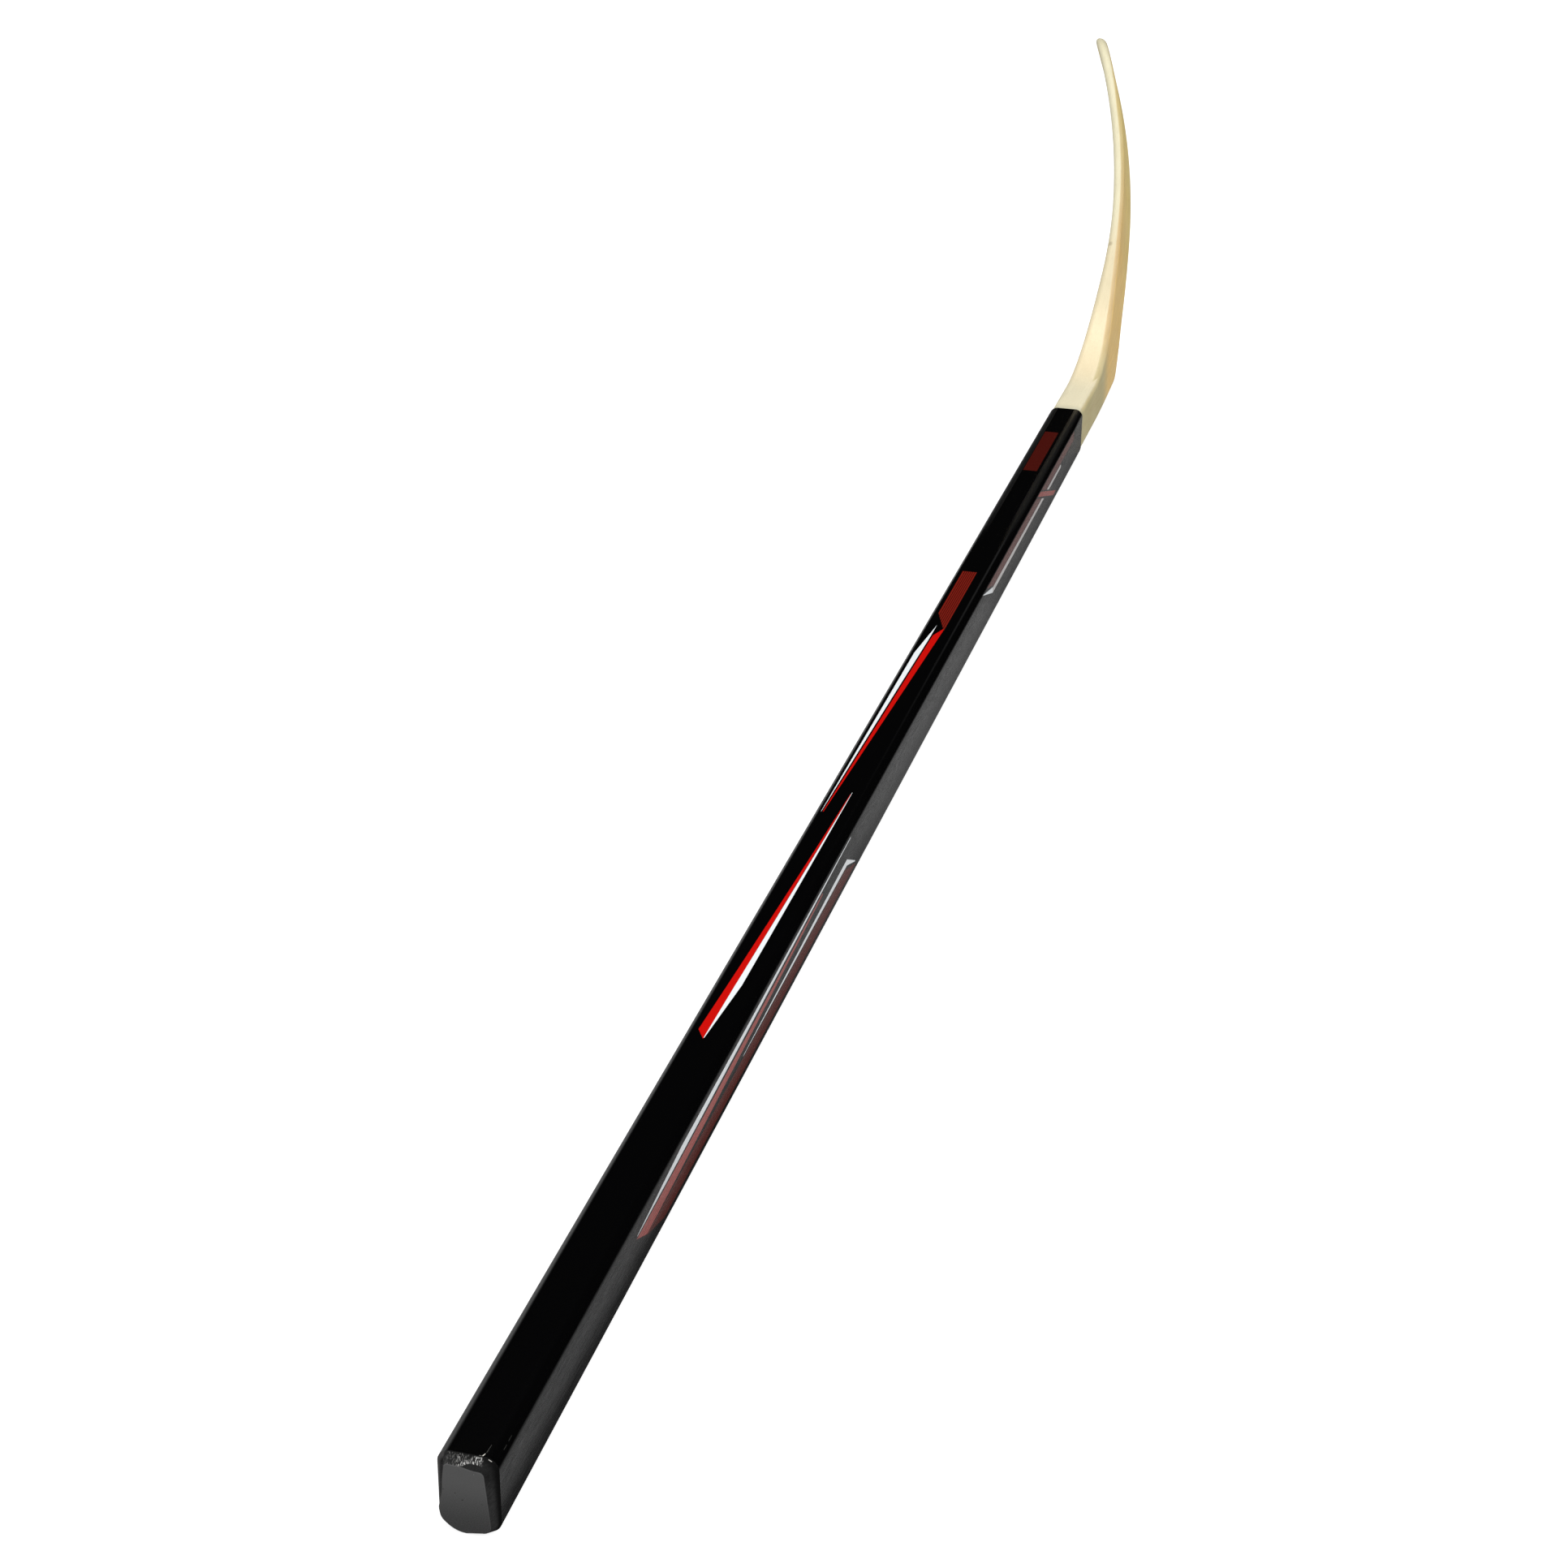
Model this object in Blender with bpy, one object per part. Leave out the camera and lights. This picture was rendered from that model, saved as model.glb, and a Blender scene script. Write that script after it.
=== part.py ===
"""Street hockey stick: a laminated wooden shaft in a printed film, spliced to a curved blade.

Metres, +Z up. The origin is where the shaft's centre line meets the butt's flat end face. +X runs
along the shaft to the blade, +Z points the way the toe stands, and +Y is the forehand side, which
the blade curves to.
The solids are the outer form of the wood, lofted section by section from butt to toe, cut into the
boards that it is glued up from, with the film and the butt's coat as thin shells around it.
"""
import math

import bmesh
import bpy
from mathutils import Vector

# Shaft
SHAFT_NARROW = 0.0210
SHAFT_WIDE = 0.0300
SHAFT_EDGE_RADIUS = 0.0048
FILM_END = 1.0750
FILM_WALL = 0.0003
GLUE_GAP = 0.0003

# Butt, sanded by hand: the corners (y, z) of its end face, how round they are, and how far the
# sanding runs along the shaft at each. Their order is backhand bottom, forehand bottom, forehand top
# and backhand top.
BUTT_CORNERS = ((-0.0078, -0.0136), (0.00975, -0.0147), (0.0072, 0.0118), (-0.0061, 0.0107))
BUTT_RADII = (0.0028, 0.0091, 0.0013, 0.0018)
SANDED_LENGTHS = (0.0033, 0.0026, 0.0031, 0.0031)

# Boards of the shaft, measured from its middle plane
CENTRE_PLY_HALF = 0.0038
CORE_PLY_THICKNESS = 0.0045
SPLICE_TIP_BEFORE_FILM_END = 0.0380
SPLICE_POINT_LENGTH = 0.0250
BLOCK_JOINT_STEP = 0.00015

# Hosel and blade
HEEL_PAST_FILM = 0.1550
LIE_ANGLE = math.radians(45.0)
BLADE_LENGTH = 0.2500
BLADE_HEIGHT = 0.0600
TOE_HEIGHT = 0.0550
TOE_LENGTH = 0.0360
THROAT_RADIUS = 0.1100
HEEL_RADIUS = 0.0180
THROAT_THICKNESS = 0.0134
BLADE_THICKNESS = 0.0070
TOE_THICKNESS = 0.0074
TAPER_LENGTH = 0.0800
TAPER_POWER = 1.8
BLADE_EDGE_RADIUS = 0.0031
TOE_EDGE_RADIUS = 0.0035
CURVE_START = 0.0500
CURVE_DEPTH = 0.0395
CURVE_POWER = 2.15
TOE_TWIST = 0.0040
SKIN_THICKNESS = 0.0006
SKIN_FEATHER = 0.0001

# Steps of the round forms
CORNER_STEPS = 8
EDGE_STEPS = 6
THROAT_STEPS = 10
HEEL_STEPS = 5
HEEL_TO_BLADE_STEPS = 3
TAPER_STEPS = 12
BLADE_STEPS = 14
TOE_STEPS = 10
CUTTER_MARGIN = 0.0040

# Sizes that follow
WOOD_INSET = FILM_WALL + GLUE_GAP
WOOD_HALF_WIDE = SHAFT_WIDE / 2 - WOOD_INSET
WOOD_THICKNESS = SHAFT_NARROW - 2 * WOOD_INSET
WOOD_EDGE_RADIUS = SHAFT_EDGE_RADIUS - WOOD_INSET
SLOT_HALF = CENTRE_PLY_HALF + GLUE_GAP
CORE_PLY_OUTER = SLOT_HALF + CORE_PLY_THICKNESS
FACE_PLY_INNER = CORE_PLY_OUTER + GLUE_GAP
ALONG = Vector((math.cos(LIE_ANGLE), math.sin(LIE_ANGLE)))
ACROSS = Vector((-math.sin(LIE_ANGLE), math.cos(LIE_ANGLE)))
HEEL_CORNER = Vector((FILM_END + HEEL_PAST_FILM, -WOOD_HALF_WIDE))
THROAT_CORNER_U = (2 * WOOD_HALF_WIDE - BLADE_HEIGHT * math.cos(LIE_ANGLE)) / math.sin(LIE_ANGLE)
THROAT_CORNER = HEEL_CORNER + THROAT_CORNER_U * ALONG + BLADE_HEIGHT * ACROSS
THROAT_TANGENT = THROAT_RADIUS * math.tan(LIE_ANGLE / 2)
THROAT_CENTRE = Vector((THROAT_CORNER.x - THROAT_TANGENT, WOOD_HALF_WIDE + THROAT_RADIUS))
HEEL_TANGENT = HEEL_RADIUS * math.tan(LIE_ANGLE / 2)
HEEL_CENTRE = HEEL_CORNER + Vector((-HEEL_TANGENT, HEEL_RADIUS))
BLADE_START_U = THROAT_CORNER_U + THROAT_TANGENT


def blade_point(u, v):
    """(x, z) of a point u along the bottom edge from the heel corner and v above that edge."""
    return HEEL_CORNER + u * ALONG + v * ACROSS


def middle_y(point):
    """How far the blade's middle surface stands towards the forehand at (x, z)."""
    offset = point - HEEL_CORNER
    u = offset.dot(ALONG)
    v = offset.dot(ACROSS)
    curve = max(u - CURVE_START, 0.0) / (BLADE_LENGTH - CURVE_START)
    twist = max(u, 0.0) / BLADE_LENGTH
    return CURVE_DEPTH * curve ** CURVE_POWER + TOE_TWIST * twist ** 2 * (v / BLADE_HEIGHT - 0.5)


def taper_shares(u):
    """How far u has come along the taper behind the throat, and along the blade beyond it."""
    beyond = u - BLADE_START_U - TAPER_LENGTH
    taper = min(1.0 + beyond / TAPER_LENGTH, 1.0)
    return taper, max(beyond, 0.0) / (BLADE_LENGTH - BLADE_START_U - TAPER_LENGTH)


def blade_thickness(u):
    """Thickness of the blade, falling fast behind the throat and then almost even to the toe."""
    taper, rest = taper_shares(u)
    base = BLADE_THICKNESS + (TOE_THICKNESS - BLADE_THICKNESS) * rest
    return base + (THROAT_THICKNESS - BLADE_THICKNESS) * (1.0 - taper) ** TAPER_POWER


def blade_edge_radius(u):
    """Radius of the blade's long edges, from the shaft's own to the almost full round of the toe."""
    taper, rest = taper_shares(u)
    base = BLADE_EDGE_RADIUS + (TOE_EDGE_RADIUS - BLADE_EDGE_RADIUS) * rest
    return base + (WOOD_EDGE_RADIUS - BLADE_EDGE_RADIUS) * (1.0 - taper)


def u_of_thickness(thickness):
    """Distance along the bottom edge at which the taper has come down to a thickness."""
    share = (thickness - BLADE_THICKNESS) / (THROAT_THICKNESS - BLADE_THICKNESS)
    return BLADE_START_U + TAPER_LENGTH * (1.0 - share ** (1.0 / TAPER_POWER))


def make_station(bottom, top, thickness, radius, bottom_out=None, top_out=None):
    """One section: its lower and upper outline points, outward directions, thickness and edges."""
    up = (top - bottom).normalized() if bottom_out is None else None
    return {
        "bottom": bottom,
        "top": top,
        "thickness": thickness,
        "radius": radius,
        "bottom_out": -up if bottom_out is None else bottom_out,
        "top_out": up if top_out is None else top_out,
    }


def shaft_station(x):
    """Section of the wood straight across the shaft."""
    return make_station(
        Vector((x, -WOOD_HALF_WIDE)), Vector((x, WOOD_HALF_WIDE)), WOOD_THICKNESS, WOOD_EDGE_RADIUS
    )


def shaft_stations():
    """Sections of the wood along the shaft, from past the sanded butt to the start of the throat."""
    return [shaft_station(FILM_END), shaft_station((FILM_END + THROAT_CENTRE.x) / 2)]


def underside_point(angle):
    """Where the ray from the throat's centre at an angle leaves the wood on the heel side."""
    ray = Vector((math.sin(angle), -math.cos(angle)))
    to_shaft = (-WOOD_HALF_WIDE - THROAT_CENTRE.y) / ray.y
    to_blade = (HEEL_CORNER - THROAT_CENTRE).dot(ACROSS) / ray.dot(ACROSS)
    if angle <= heel_angles()[0]:
        return THROAT_CENTRE + to_shaft * ray
    if angle >= heel_angles()[1]:
        return THROAT_CENTRE + to_blade * ray
    offset = THROAT_CENTRE - HEEL_CENTRE
    half = offset.dot(ray)
    reach = -half + math.sqrt(half * half - offset.dot(offset) + HEEL_RADIUS ** 2)
    return THROAT_CENTRE + reach * ray


def heel_angles():
    """Angles about the throat's centre at which the heel's round starts and ends."""
    start = HEEL_CORNER + Vector((-HEEL_TANGENT, 0.0)) - THROAT_CENTRE
    end = blade_point(HEEL_TANGENT, 0.0) - THROAT_CENTRE
    return math.atan2(start.x, -start.y), math.atan2(end.x, -end.y)


def throat_stations():
    """Sections fanned about the throat's centre, round the bend from shaft to blade."""
    first, last = heel_angles()
    angles = [first * i / THROAT_STEPS for i in range(THROAT_STEPS)]
    angles += [first + (last - first) * i / HEEL_STEPS for i in range(HEEL_STEPS)]
    rest = LIE_ANGLE - last
    angles += [last + rest * i / HEEL_TO_BLADE_STEPS for i in range(HEEL_TO_BLADE_STEPS + 1)]
    stations = []
    for angle in angles:
        share = (angle / LIE_ANGLE) ** 2
        thickness = WOOD_THICKNESS + (THROAT_THICKNESS - WOOD_THICKNESS) * share
        top = THROAT_CENTRE + THROAT_RADIUS * Vector((math.sin(angle), -math.cos(angle)))
        stations.append(make_station(underside_point(angle), top, thickness, WOOD_EDGE_RADIUS))
    return stations


def blade_stations():
    """Sections square across the blade, up to the start of the rounded toe."""
    taper_end = BLADE_START_U + TAPER_LENGTH
    toe_start = BLADE_LENGTH - TOE_LENGTH
    places = [BLADE_START_U + TAPER_LENGTH * (i + 1) / TAPER_STEPS for i in range(TAPER_STEPS)]
    places += [taper_end + (toe_start - taper_end) * (i + 1) / BLADE_STEPS for i in range(BLADE_STEPS)]
    stations = []
    for u in places:
        share = (u - BLADE_START_U) / (toe_start - BLADE_START_U)
        height = BLADE_HEIGHT + (TOE_HEIGHT - BLADE_HEIGHT) * share
        stations.append(
            make_station(
                blade_point(u, 0.0), blade_point(u, height), blade_thickness(u), blade_edge_radius(u)
            )
        )
    return stations


def toe_stations():
    """Sections of the toe, whose outline is half an ellipse and whose edge turns with it."""
    stations = []
    half = TOE_HEIGHT / 2
    for i in range(1, TOE_STEPS + 1):
        angle = math.pi / 2 * i / TOE_STEPS
        u = BLADE_LENGTH - TOE_LENGTH + TOE_LENGTH * math.sin(angle)
        rise = half * math.cos(angle) if i < TOE_STEPS else 0.0
        lean = half * math.sin(angle)
        out = TOE_LENGTH * math.cos(angle) if i < TOE_STEPS else 0.0
        top_out = (lean * ALONG + out * ACROSS).normalized()
        bottom_out = (lean * ALONG - out * ACROSS).normalized()
        bottom = blade_point(u, half - rise)
        top = blade_point(u, half + rise)
        stations.append(
            make_station(bottom, top, blade_thickness(u), blade_edge_radius(u), bottom_out, top_out)
        )
    return stations


def rounded_ring(station):
    """Closed section of the wood: two straight faces joined by rounded edges."""
    ring = []
    half = station["thickness"] / 2
    radius = station["radius"]
    for end, side in (("bottom", -1), ("top", 1)):
        turns = [(side, i) for i in range(EDGE_STEPS, -1, -1)]
        turns += [(-side, i) for i in range(EDGE_STEPS + 1)]
        for face, i in turns:
            angle = math.pi / 2 * i / EDGE_STEPS
            point = station[end] - station[end + "_out"] * radius * (1.0 - math.cos(angle))
            y = middle_y(point) + face * (half - radius * (1.0 - math.sin(angle)))
            ring.append(Vector((point.x, y, point.y)))
    return ring


def slab_ring(station, low, high):
    """Section of a cutting slab that stands past the outline, between two depths from the middle."""
    bottom = station["bottom"] + station["bottom_out"] * CUTTER_MARGIN
    top = station["top"] + station["top_out"] * CUTTER_MARGIN
    ring = []
    for point, depth in ((bottom, low), (bottom, high), (top, high), (top, low)):
        ring.append(Vector((point.x, middle_y(point) + depth, point.y)))
    return ring


def join_rows(mesh, pairs):
    """Fills the walls between pairs of rings that have the same count of points."""
    for row, following in pairs:
        for i in range(len(row)):
            j = (i + 1) % len(row)
            mesh.faces.new((row[i], row[j], following[j], following[i]))


def sleeve(rings):
    """Closed bmesh of a wall whose rings run along its outside and back along its inside."""
    mesh = bmesh.new()
    rows = [[mesh.verts.new(point) for point in ring] for ring in rings]
    join_rows(mesh, list(zip(rows, rows[1:] + rows[:1])))
    bmesh.ops.recalc_face_normals(mesh, faces=mesh.faces)
    return mesh


def loft(rings):
    """Closed bmesh through rings of equal count, capped at both ends, its doubled points merged."""
    mesh = bmesh.new()
    rows = [[mesh.verts.new(point) for point in ring] for ring in rings]
    join_rows(mesh, list(zip(rows, rows[1:])))
    mesh.faces.new(rows[0])
    tip_width = (rings[-1][0] - rings[-1][-1]).length
    if tip_width > CUTTER_MARGIN / 100:
        mesh.faces.new(rows[-1])
    bmesh.ops.remove_doubles(mesh, verts=mesh.verts, dist=1e-7)
    bmesh.ops.recalc_face_normals(mesh, faces=mesh.faces)
    return mesh


def extruded_outline(points, low, high):
    """Closed bmesh of an (x, z) outline extruded along Y from low to high."""
    mesh = bmesh.new()
    face = mesh.faces.new([mesh.verts.new((x, low, z)) for x, z in points])
    grown = bmesh.ops.extrude_face_region(mesh, geom=[face])
    moved = [item for item in grown["geom"] if isinstance(item, bmesh.types.BMVert)]
    bmesh.ops.translate(mesh, verts=moved, vec=(0.0, high - low, 0.0))
    bmesh.ops.recalc_face_normals(mesh, faces=mesh.faces)
    return mesh


def corner_ring(lengths, corners, radii, inset, steps):
    """Ring round the shaft with four rounded corners, drawn in by inset on every side.

    Each corner has its own place along the shaft. Between them x follows from y and z in proportion."""
    ring = []
    for quarter, ((y, z), radius) in enumerate(zip(corners, radii)):
        round_off = radius - 0.8 * inset
        side = math.copysign(1.0, y)
        end = math.copysign(1.0, z)
        for i in range(steps + 1):
            angle = math.pi / 2 * (quarter + 2 + i / steps)
            across = y + round_off * (math.cos(angle) - side) - side * inset
            up = z + round_off * (math.sin(angle) - end) - end * inset
            ring.append(Vector((along_at(lengths, across, up), across, up)))
    return ring


def along_at(lengths, y, z):
    """Place along the shaft at (y, z), mixed from those at the four corners."""
    left = y / SHAFT_NARROW + 0.5
    top = z / SHAFT_WIDE + 0.5
    low = lengths[0] * (1.0 - left) + lengths[1] * left
    high = lengths[3] * (1.0 - left) + lengths[2] * left
    return low + (high - low) * top


def end_face_ring(inset, steps):
    """Outline of the butt's end face, moved in by inset and along the shaft by as much."""
    return corner_ring((inset,) * 4, BUTT_CORNERS, BUTT_RADII, inset, steps)


def sanded_ring(back, inset, steps):
    """Line where the sanded chamfers meet the shaft's sides, moved back along it and drawn in."""
    lengths = tuple(length + back for length in SANDED_LENGTHS)
    return corner_ring(lengths, shaft_corners(), (SHAFT_EDGE_RADIUS,) * 4, inset, steps)


def square_ring(x, inset, steps):
    """Outline of the shaft straight across at x, drawn in by inset."""
    return corner_ring((x,) * 4, shaft_corners(), (SHAFT_EDGE_RADIUS,) * 4, inset, steps)


def shaft_corners():
    """Corners (y, z) of the shaft, in the order of the butt's."""
    y = SHAFT_NARROW / 2
    z = SHAFT_WIDE / 2
    return ((-y, -z), (y, -z), (y, z), (-y, z))


def new_object(name, mesh, material=None):
    """Turns a bmesh into an object, with soft shading on all but its sharp edges."""
    data = bpy.data.meshes.new(name)
    mesh.to_mesh(data)
    mesh.free()
    data.polygons.foreach_set("use_smooth", [True] * len(data.polygons))
    data.set_sharp_from_angle(angle=math.radians(25.0))
    item = bpy.data.objects.new(name, data)
    bpy.context.scene.collection.objects.link(item)
    if material:
        data.materials.append(material)
    return item


def new_guide(name, mesh):
    """Object that only shapes others, hidden from the finished model."""
    item = new_object(name, mesh)
    item.hide_render = True
    item.display_type = "WIRE"
    return item


def cut(item, operation, guide):
    """Adds an exact Boolean with a guide object."""
    modifier = item.modifiers.new(operation.lower(), "BOOLEAN")
    modifier.operation = operation
    modifier.solver = "EXACT"
    modifier.object = guide


def new_material(name, colour, roughness):
    """Principled material of one colour and roughness."""
    material = bpy.data.materials.new(name)
    material.use_nodes = True
    shader = material.node_tree.nodes["Principled BSDF"]
    shader.inputs["Base Color"].default_value = (*colour, 1.0)
    shader.inputs["Roughness"].default_value = roughness
    shader.inputs["Metallic"].default_value = 0.0
    return material


def film_material():
    """Glossy black printed plastic film."""
    return new_material("film_black", (0.012, 0.012, 0.013), 0.15)


def coat_material():
    """Thin black paint brushed over sanded end grain."""
    return new_material("butt_coat_black", (0.02, 0.02, 0.02), 0.55)


def face_ply_material():
    """Greyish pale hardwood veneer."""
    return new_material("face_ply_wood", (0.42, 0.36, 0.24), 0.5)


def core_ply_material():
    """Pale poplar core board."""
    return new_material("core_ply_wood", (0.66, 0.54, 0.34), 0.55)


def block_material():
    """Pale cream block wood."""
    return new_material("block_wood", (0.76, 0.66, 0.45), 0.5)


def blade_wood_material():
    """Light cream wood of the blade, sealed and sanded."""
    return new_material("blade_wood", (0.80, 0.71, 0.50), 0.45)


def skin_material():
    """Tan resin and cloth skin over the blade's wood."""
    return new_material("blade_skin_resin", (0.58, 0.42, 0.21), 0.4)


def build_wood_form():
    """Outer form of all the wood in one closed loft, used to trim every board."""
    butt = [end_face_ring(WOOD_INSET, EDGE_STEPS), sanded_ring(WOOD_INSET, WOOD_INSET, EDGE_STEPS)]
    stations = shaft_stations() + throat_stations() + blade_stations() + toe_stations()
    return new_guide("wood_form", loft(butt + [rounded_ring(station) for station in stations]))


def build_film():
    """Printed film: a tube with a thin even wall, sanded off at the butt and square at its lower end."""
    rings = [
        sanded_ring(GLUE_GAP, 0.0, CORNER_STEPS),
        square_ring(FILM_END, 0.0, CORNER_STEPS),
        square_ring(FILM_END, FILM_WALL, CORNER_STEPS),
        sanded_ring(GLUE_GAP, FILM_WALL, CORNER_STEPS),
    ]
    new_object("shaft_film", sleeve(rings), film_material())


def build_butt_coat():
    """Coat over the sanded butt: a thin cup on the end face and the sanded chamfers round it."""
    rings = [
        end_face_ring(FILM_WALL, CORNER_STEPS),
        sanded_ring(0.0, 1.2 * FILM_WALL, CORNER_STEPS),
        sanded_ring(0.0, 0.0, CORNER_STEPS),
        end_face_ring(0.0, CORNER_STEPS),
    ]
    new_object("butt_end_coat", loft(rings), coat_material())


def build_shaft_boards(form):
    """Face and core plies on both sides, each a flat board trimmed by the outer form of the wood."""
    top = WOOD_HALF_WIDE + BLOCK_JOINT_STEP
    end = HEEL_CORNER.x + 2 * SHAFT_WIDE
    outline = ((-CUTTER_MARGIN, -top), (end, -top), (end, top), (-CUTTER_MARGIN, top))
    boards = (
        ("shaft_core_ply", SLOT_HALF, CORE_PLY_OUTER, core_ply_material()),
        ("shaft_face_ply", FACE_PLY_INNER, SHAFT_NARROW, face_ply_material()),
    )
    for name, inner, outer, material in boards:
        for side, (low, high) in (("forehand", (inner, outer)), ("backhand", (-outer, -inner))):
            board = new_object(name + "_" + side, extruded_outline(outline, low, high), material)
            cut(board, "INTERSECT", form)


def build_centre_ply(form):
    """Middle board of the shaft, with the pointed notch that takes the blade's tongue."""
    tip = FILM_END - SPLICE_TIP_BEFORE_FILM_END
    rise = WOOD_HALF_WIDE + CUTTER_MARGIN
    run = rise * SPLICE_POINT_LENGTH / WOOD_HALF_WIDE
    back = GLUE_GAP / math.sin(math.atan2(WOOD_HALF_WIDE, SPLICE_POINT_LENGTH))
    notch = tip - back
    outline = (
        (-CUTTER_MARGIN, -rise),
        (notch + run, -rise),
        (notch, 0.0),
        (notch + run, rise),
        (-CUTTER_MARGIN, rise),
    )
    ply = new_object(
        "shaft_centre_ply",
        extruded_outline(outline, -CENTRE_PLY_HALF, CENTRE_PLY_HALF),
        core_ply_material(),
    )
    cut(ply, "INTERSECT", form)


def above_shaft(station):
    """The part of a section above the shaft's own width, as far as the section reaches below it."""
    floor = WOOD_HALF_WIDE + BLOCK_JOINT_STEP + GLUE_GAP
    bottom = station["bottom"] + station["bottom_out"] * CUTTER_MARGIN
    if bottom.y >= floor:
        return station
    climb = (floor - bottom.y) / -station["bottom_out"].y
    raised = dict(station)
    raised["bottom"] = station["bottom"] - station["bottom_out"] * climb
    return raised


def build_heel_blocks(form):
    """Blocks glued on above the shaft to fill the throat, feathered out along the blade's taper."""
    feather = SLOT_HALF - SKIN_THICKNESS / 2
    stations = [s for s in throat_stations() + blade_stations() if s["thickness"] / 2 > feather]
    for side, face in (("forehand", 1), ("backhand", -1)):
        depths = sorted((face * SLOT_HALF, face * SHAFT_NARROW))
        rings = [slab_ring(above_shaft(station), *depths) for station in stations]
        block = new_object("heel_block_" + side, loft(rings), block_material())
        cut(block, "INTERSECT", form)


def splice_stations():
    """Pointed end of the blade's tongue, up inside the shaft."""
    tip = FILM_END - SPLICE_TIP_BEFORE_FILM_END
    rise = WOOD_HALF_WIDE + CUTTER_MARGIN
    run = rise * SPLICE_POINT_LENGTH / WOOD_HALF_WIDE
    point = shaft_station(tip)
    point["bottom"] = Vector((tip, CUTTER_MARGIN))
    point["top"] = Vector((tip, -CUTTER_MARGIN))
    return [point, shaft_station(tip + run)]


def build_blade_core(form):
    """Wood of the blade with its tongue, thinner than the outer form by the skins on its faces."""
    hosel = [shaft_station((FILM_END + THROAT_CENTRE.x) / 2)]
    stations = splice_stations() + hosel + throat_stations() + blade_stations() + toe_stations()
    rings = []
    for station in stations:
        depth = min(station["thickness"] / 2 - SKIN_THICKNESS - GLUE_GAP, CENTRE_PLY_HALF)
        rings.append(slab_ring(station, -depth, depth))
    rings.reverse()
    core = new_object("blade_core", loft(rings), blade_wood_material())
    cut(core, "INTERSECT", form)


def build_blade_skins(form):
    """Skins of the blade's two faces, sliding under the feathered ends of the heel blocks."""
    start_half = CENTRE_PLY_HALF + SKIN_THICKNESS - SKIN_FEATHER
    start_u = u_of_thickness(2 * start_half)
    corners = (blade_point(start_u, 0.0), blade_point(start_u, BLADE_HEIGHT))
    start = make_station(*corners, 2 * start_half, 0.0)
    past = start_u + SKIN_THICKNESS
    following = [s for s in blade_stations() if (s["bottom"] - HEEL_CORNER).dot(ALONG) > past]
    stations = [start] + following + toe_stations()
    for side, face in (("forehand", 1), ("backhand", -1)):
        rings = []
        for station in stations:
            depths = (station["thickness"] / 2 - SKIN_THICKNESS, CENTRE_PLY_HALF)
            rings.append(slab_ring(station, *sorted(face * depth for depth in depths)))
        skin = new_object("blade_skin_" + side, loft(rings), skin_material())
        cut(skin, "INTERSECT", form)


def main():
    for item in list(bpy.data.objects):
        bpy.data.objects.remove(item, do_unlink=True)
    form = build_wood_form()
    build_butt_coat()
    build_film()
    build_shaft_boards(form)
    build_centre_ply(form)
    build_heel_blocks(form)
    build_blade_core(form)
    build_blade_skins(form)


main()
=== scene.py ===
# %% [markdown]
# # A street hockey stick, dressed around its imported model
# The stick is laminated wood: thin face plies, core plies and a middle ply are glued up into a shaft,
# and a curved blade is spliced into its lower end. A glossy printed film covers the shaft, the butt is
# sanded by hand and painted black, and the hosel and blade are left as clear-sealed wood.
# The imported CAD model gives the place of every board. Each piece made below stands for one CAD node, so
# the boards meet without the glue gaps that the solids keep.

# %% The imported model
import math

import bmesh
import bpy
import numpy as np
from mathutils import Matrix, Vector


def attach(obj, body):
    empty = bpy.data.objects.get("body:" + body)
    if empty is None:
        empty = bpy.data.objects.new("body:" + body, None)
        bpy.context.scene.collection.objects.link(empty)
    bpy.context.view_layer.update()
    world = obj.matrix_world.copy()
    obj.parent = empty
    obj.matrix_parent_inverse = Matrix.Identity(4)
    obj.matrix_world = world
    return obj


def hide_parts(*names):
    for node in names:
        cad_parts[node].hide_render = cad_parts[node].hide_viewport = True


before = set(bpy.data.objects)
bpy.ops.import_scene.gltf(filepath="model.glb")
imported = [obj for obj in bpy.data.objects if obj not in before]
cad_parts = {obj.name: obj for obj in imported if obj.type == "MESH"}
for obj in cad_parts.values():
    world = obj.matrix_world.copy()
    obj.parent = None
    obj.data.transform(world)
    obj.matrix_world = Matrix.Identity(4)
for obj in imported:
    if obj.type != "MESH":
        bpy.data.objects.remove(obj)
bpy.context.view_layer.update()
MM = 0.001

# %% [markdown]
# ## Camera
# The picture looks down the shaft from behind the butt. A camera could be placed by eye, but on a long
# thin object every small error shows, so this one was fitted to the outlines of the butt, the film's end
# and the blade all at once, and its numbers aren't round. The lens isn't shifted.

# %% Camera
CAMERA_PLACE, CAMERA_TURN = (-0.6735765, -0.2832461, 0.6064670), (63.984004, -0.388401, -74.814977)
camera_data = bpy.data.cameras.new("camera")
camera_data.lens = 66.202
camera_data.sensor_width = 36.0
camera_data.clip_end = 50.0
camera = bpy.data.objects.new("camera", camera_data)
camera.location = CAMERA_PLACE
camera.rotation_euler = [math.radians(angle) for angle in CAMERA_TURN]
bpy.context.scene.collection.objects.link(camera)
bpy.context.scene.camera = camera
print("camera: %.1f mm lens, %.2f m from the butt" % (camera_data.lens, camera.location.length))

# %% [markdown]
# ## Sizes
# The same values that shape the solids, in metres. The shaft lies along X with its narrow faces up and
# down, the toe points up, and the blade curves towards +Y, the forehand side. Joints are planes halfway
# between two neighbouring solids. What can be worked out from other values, such as where the throat
# starts, isn't given a number of its own, so that one change moves all that hangs on it.

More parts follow.
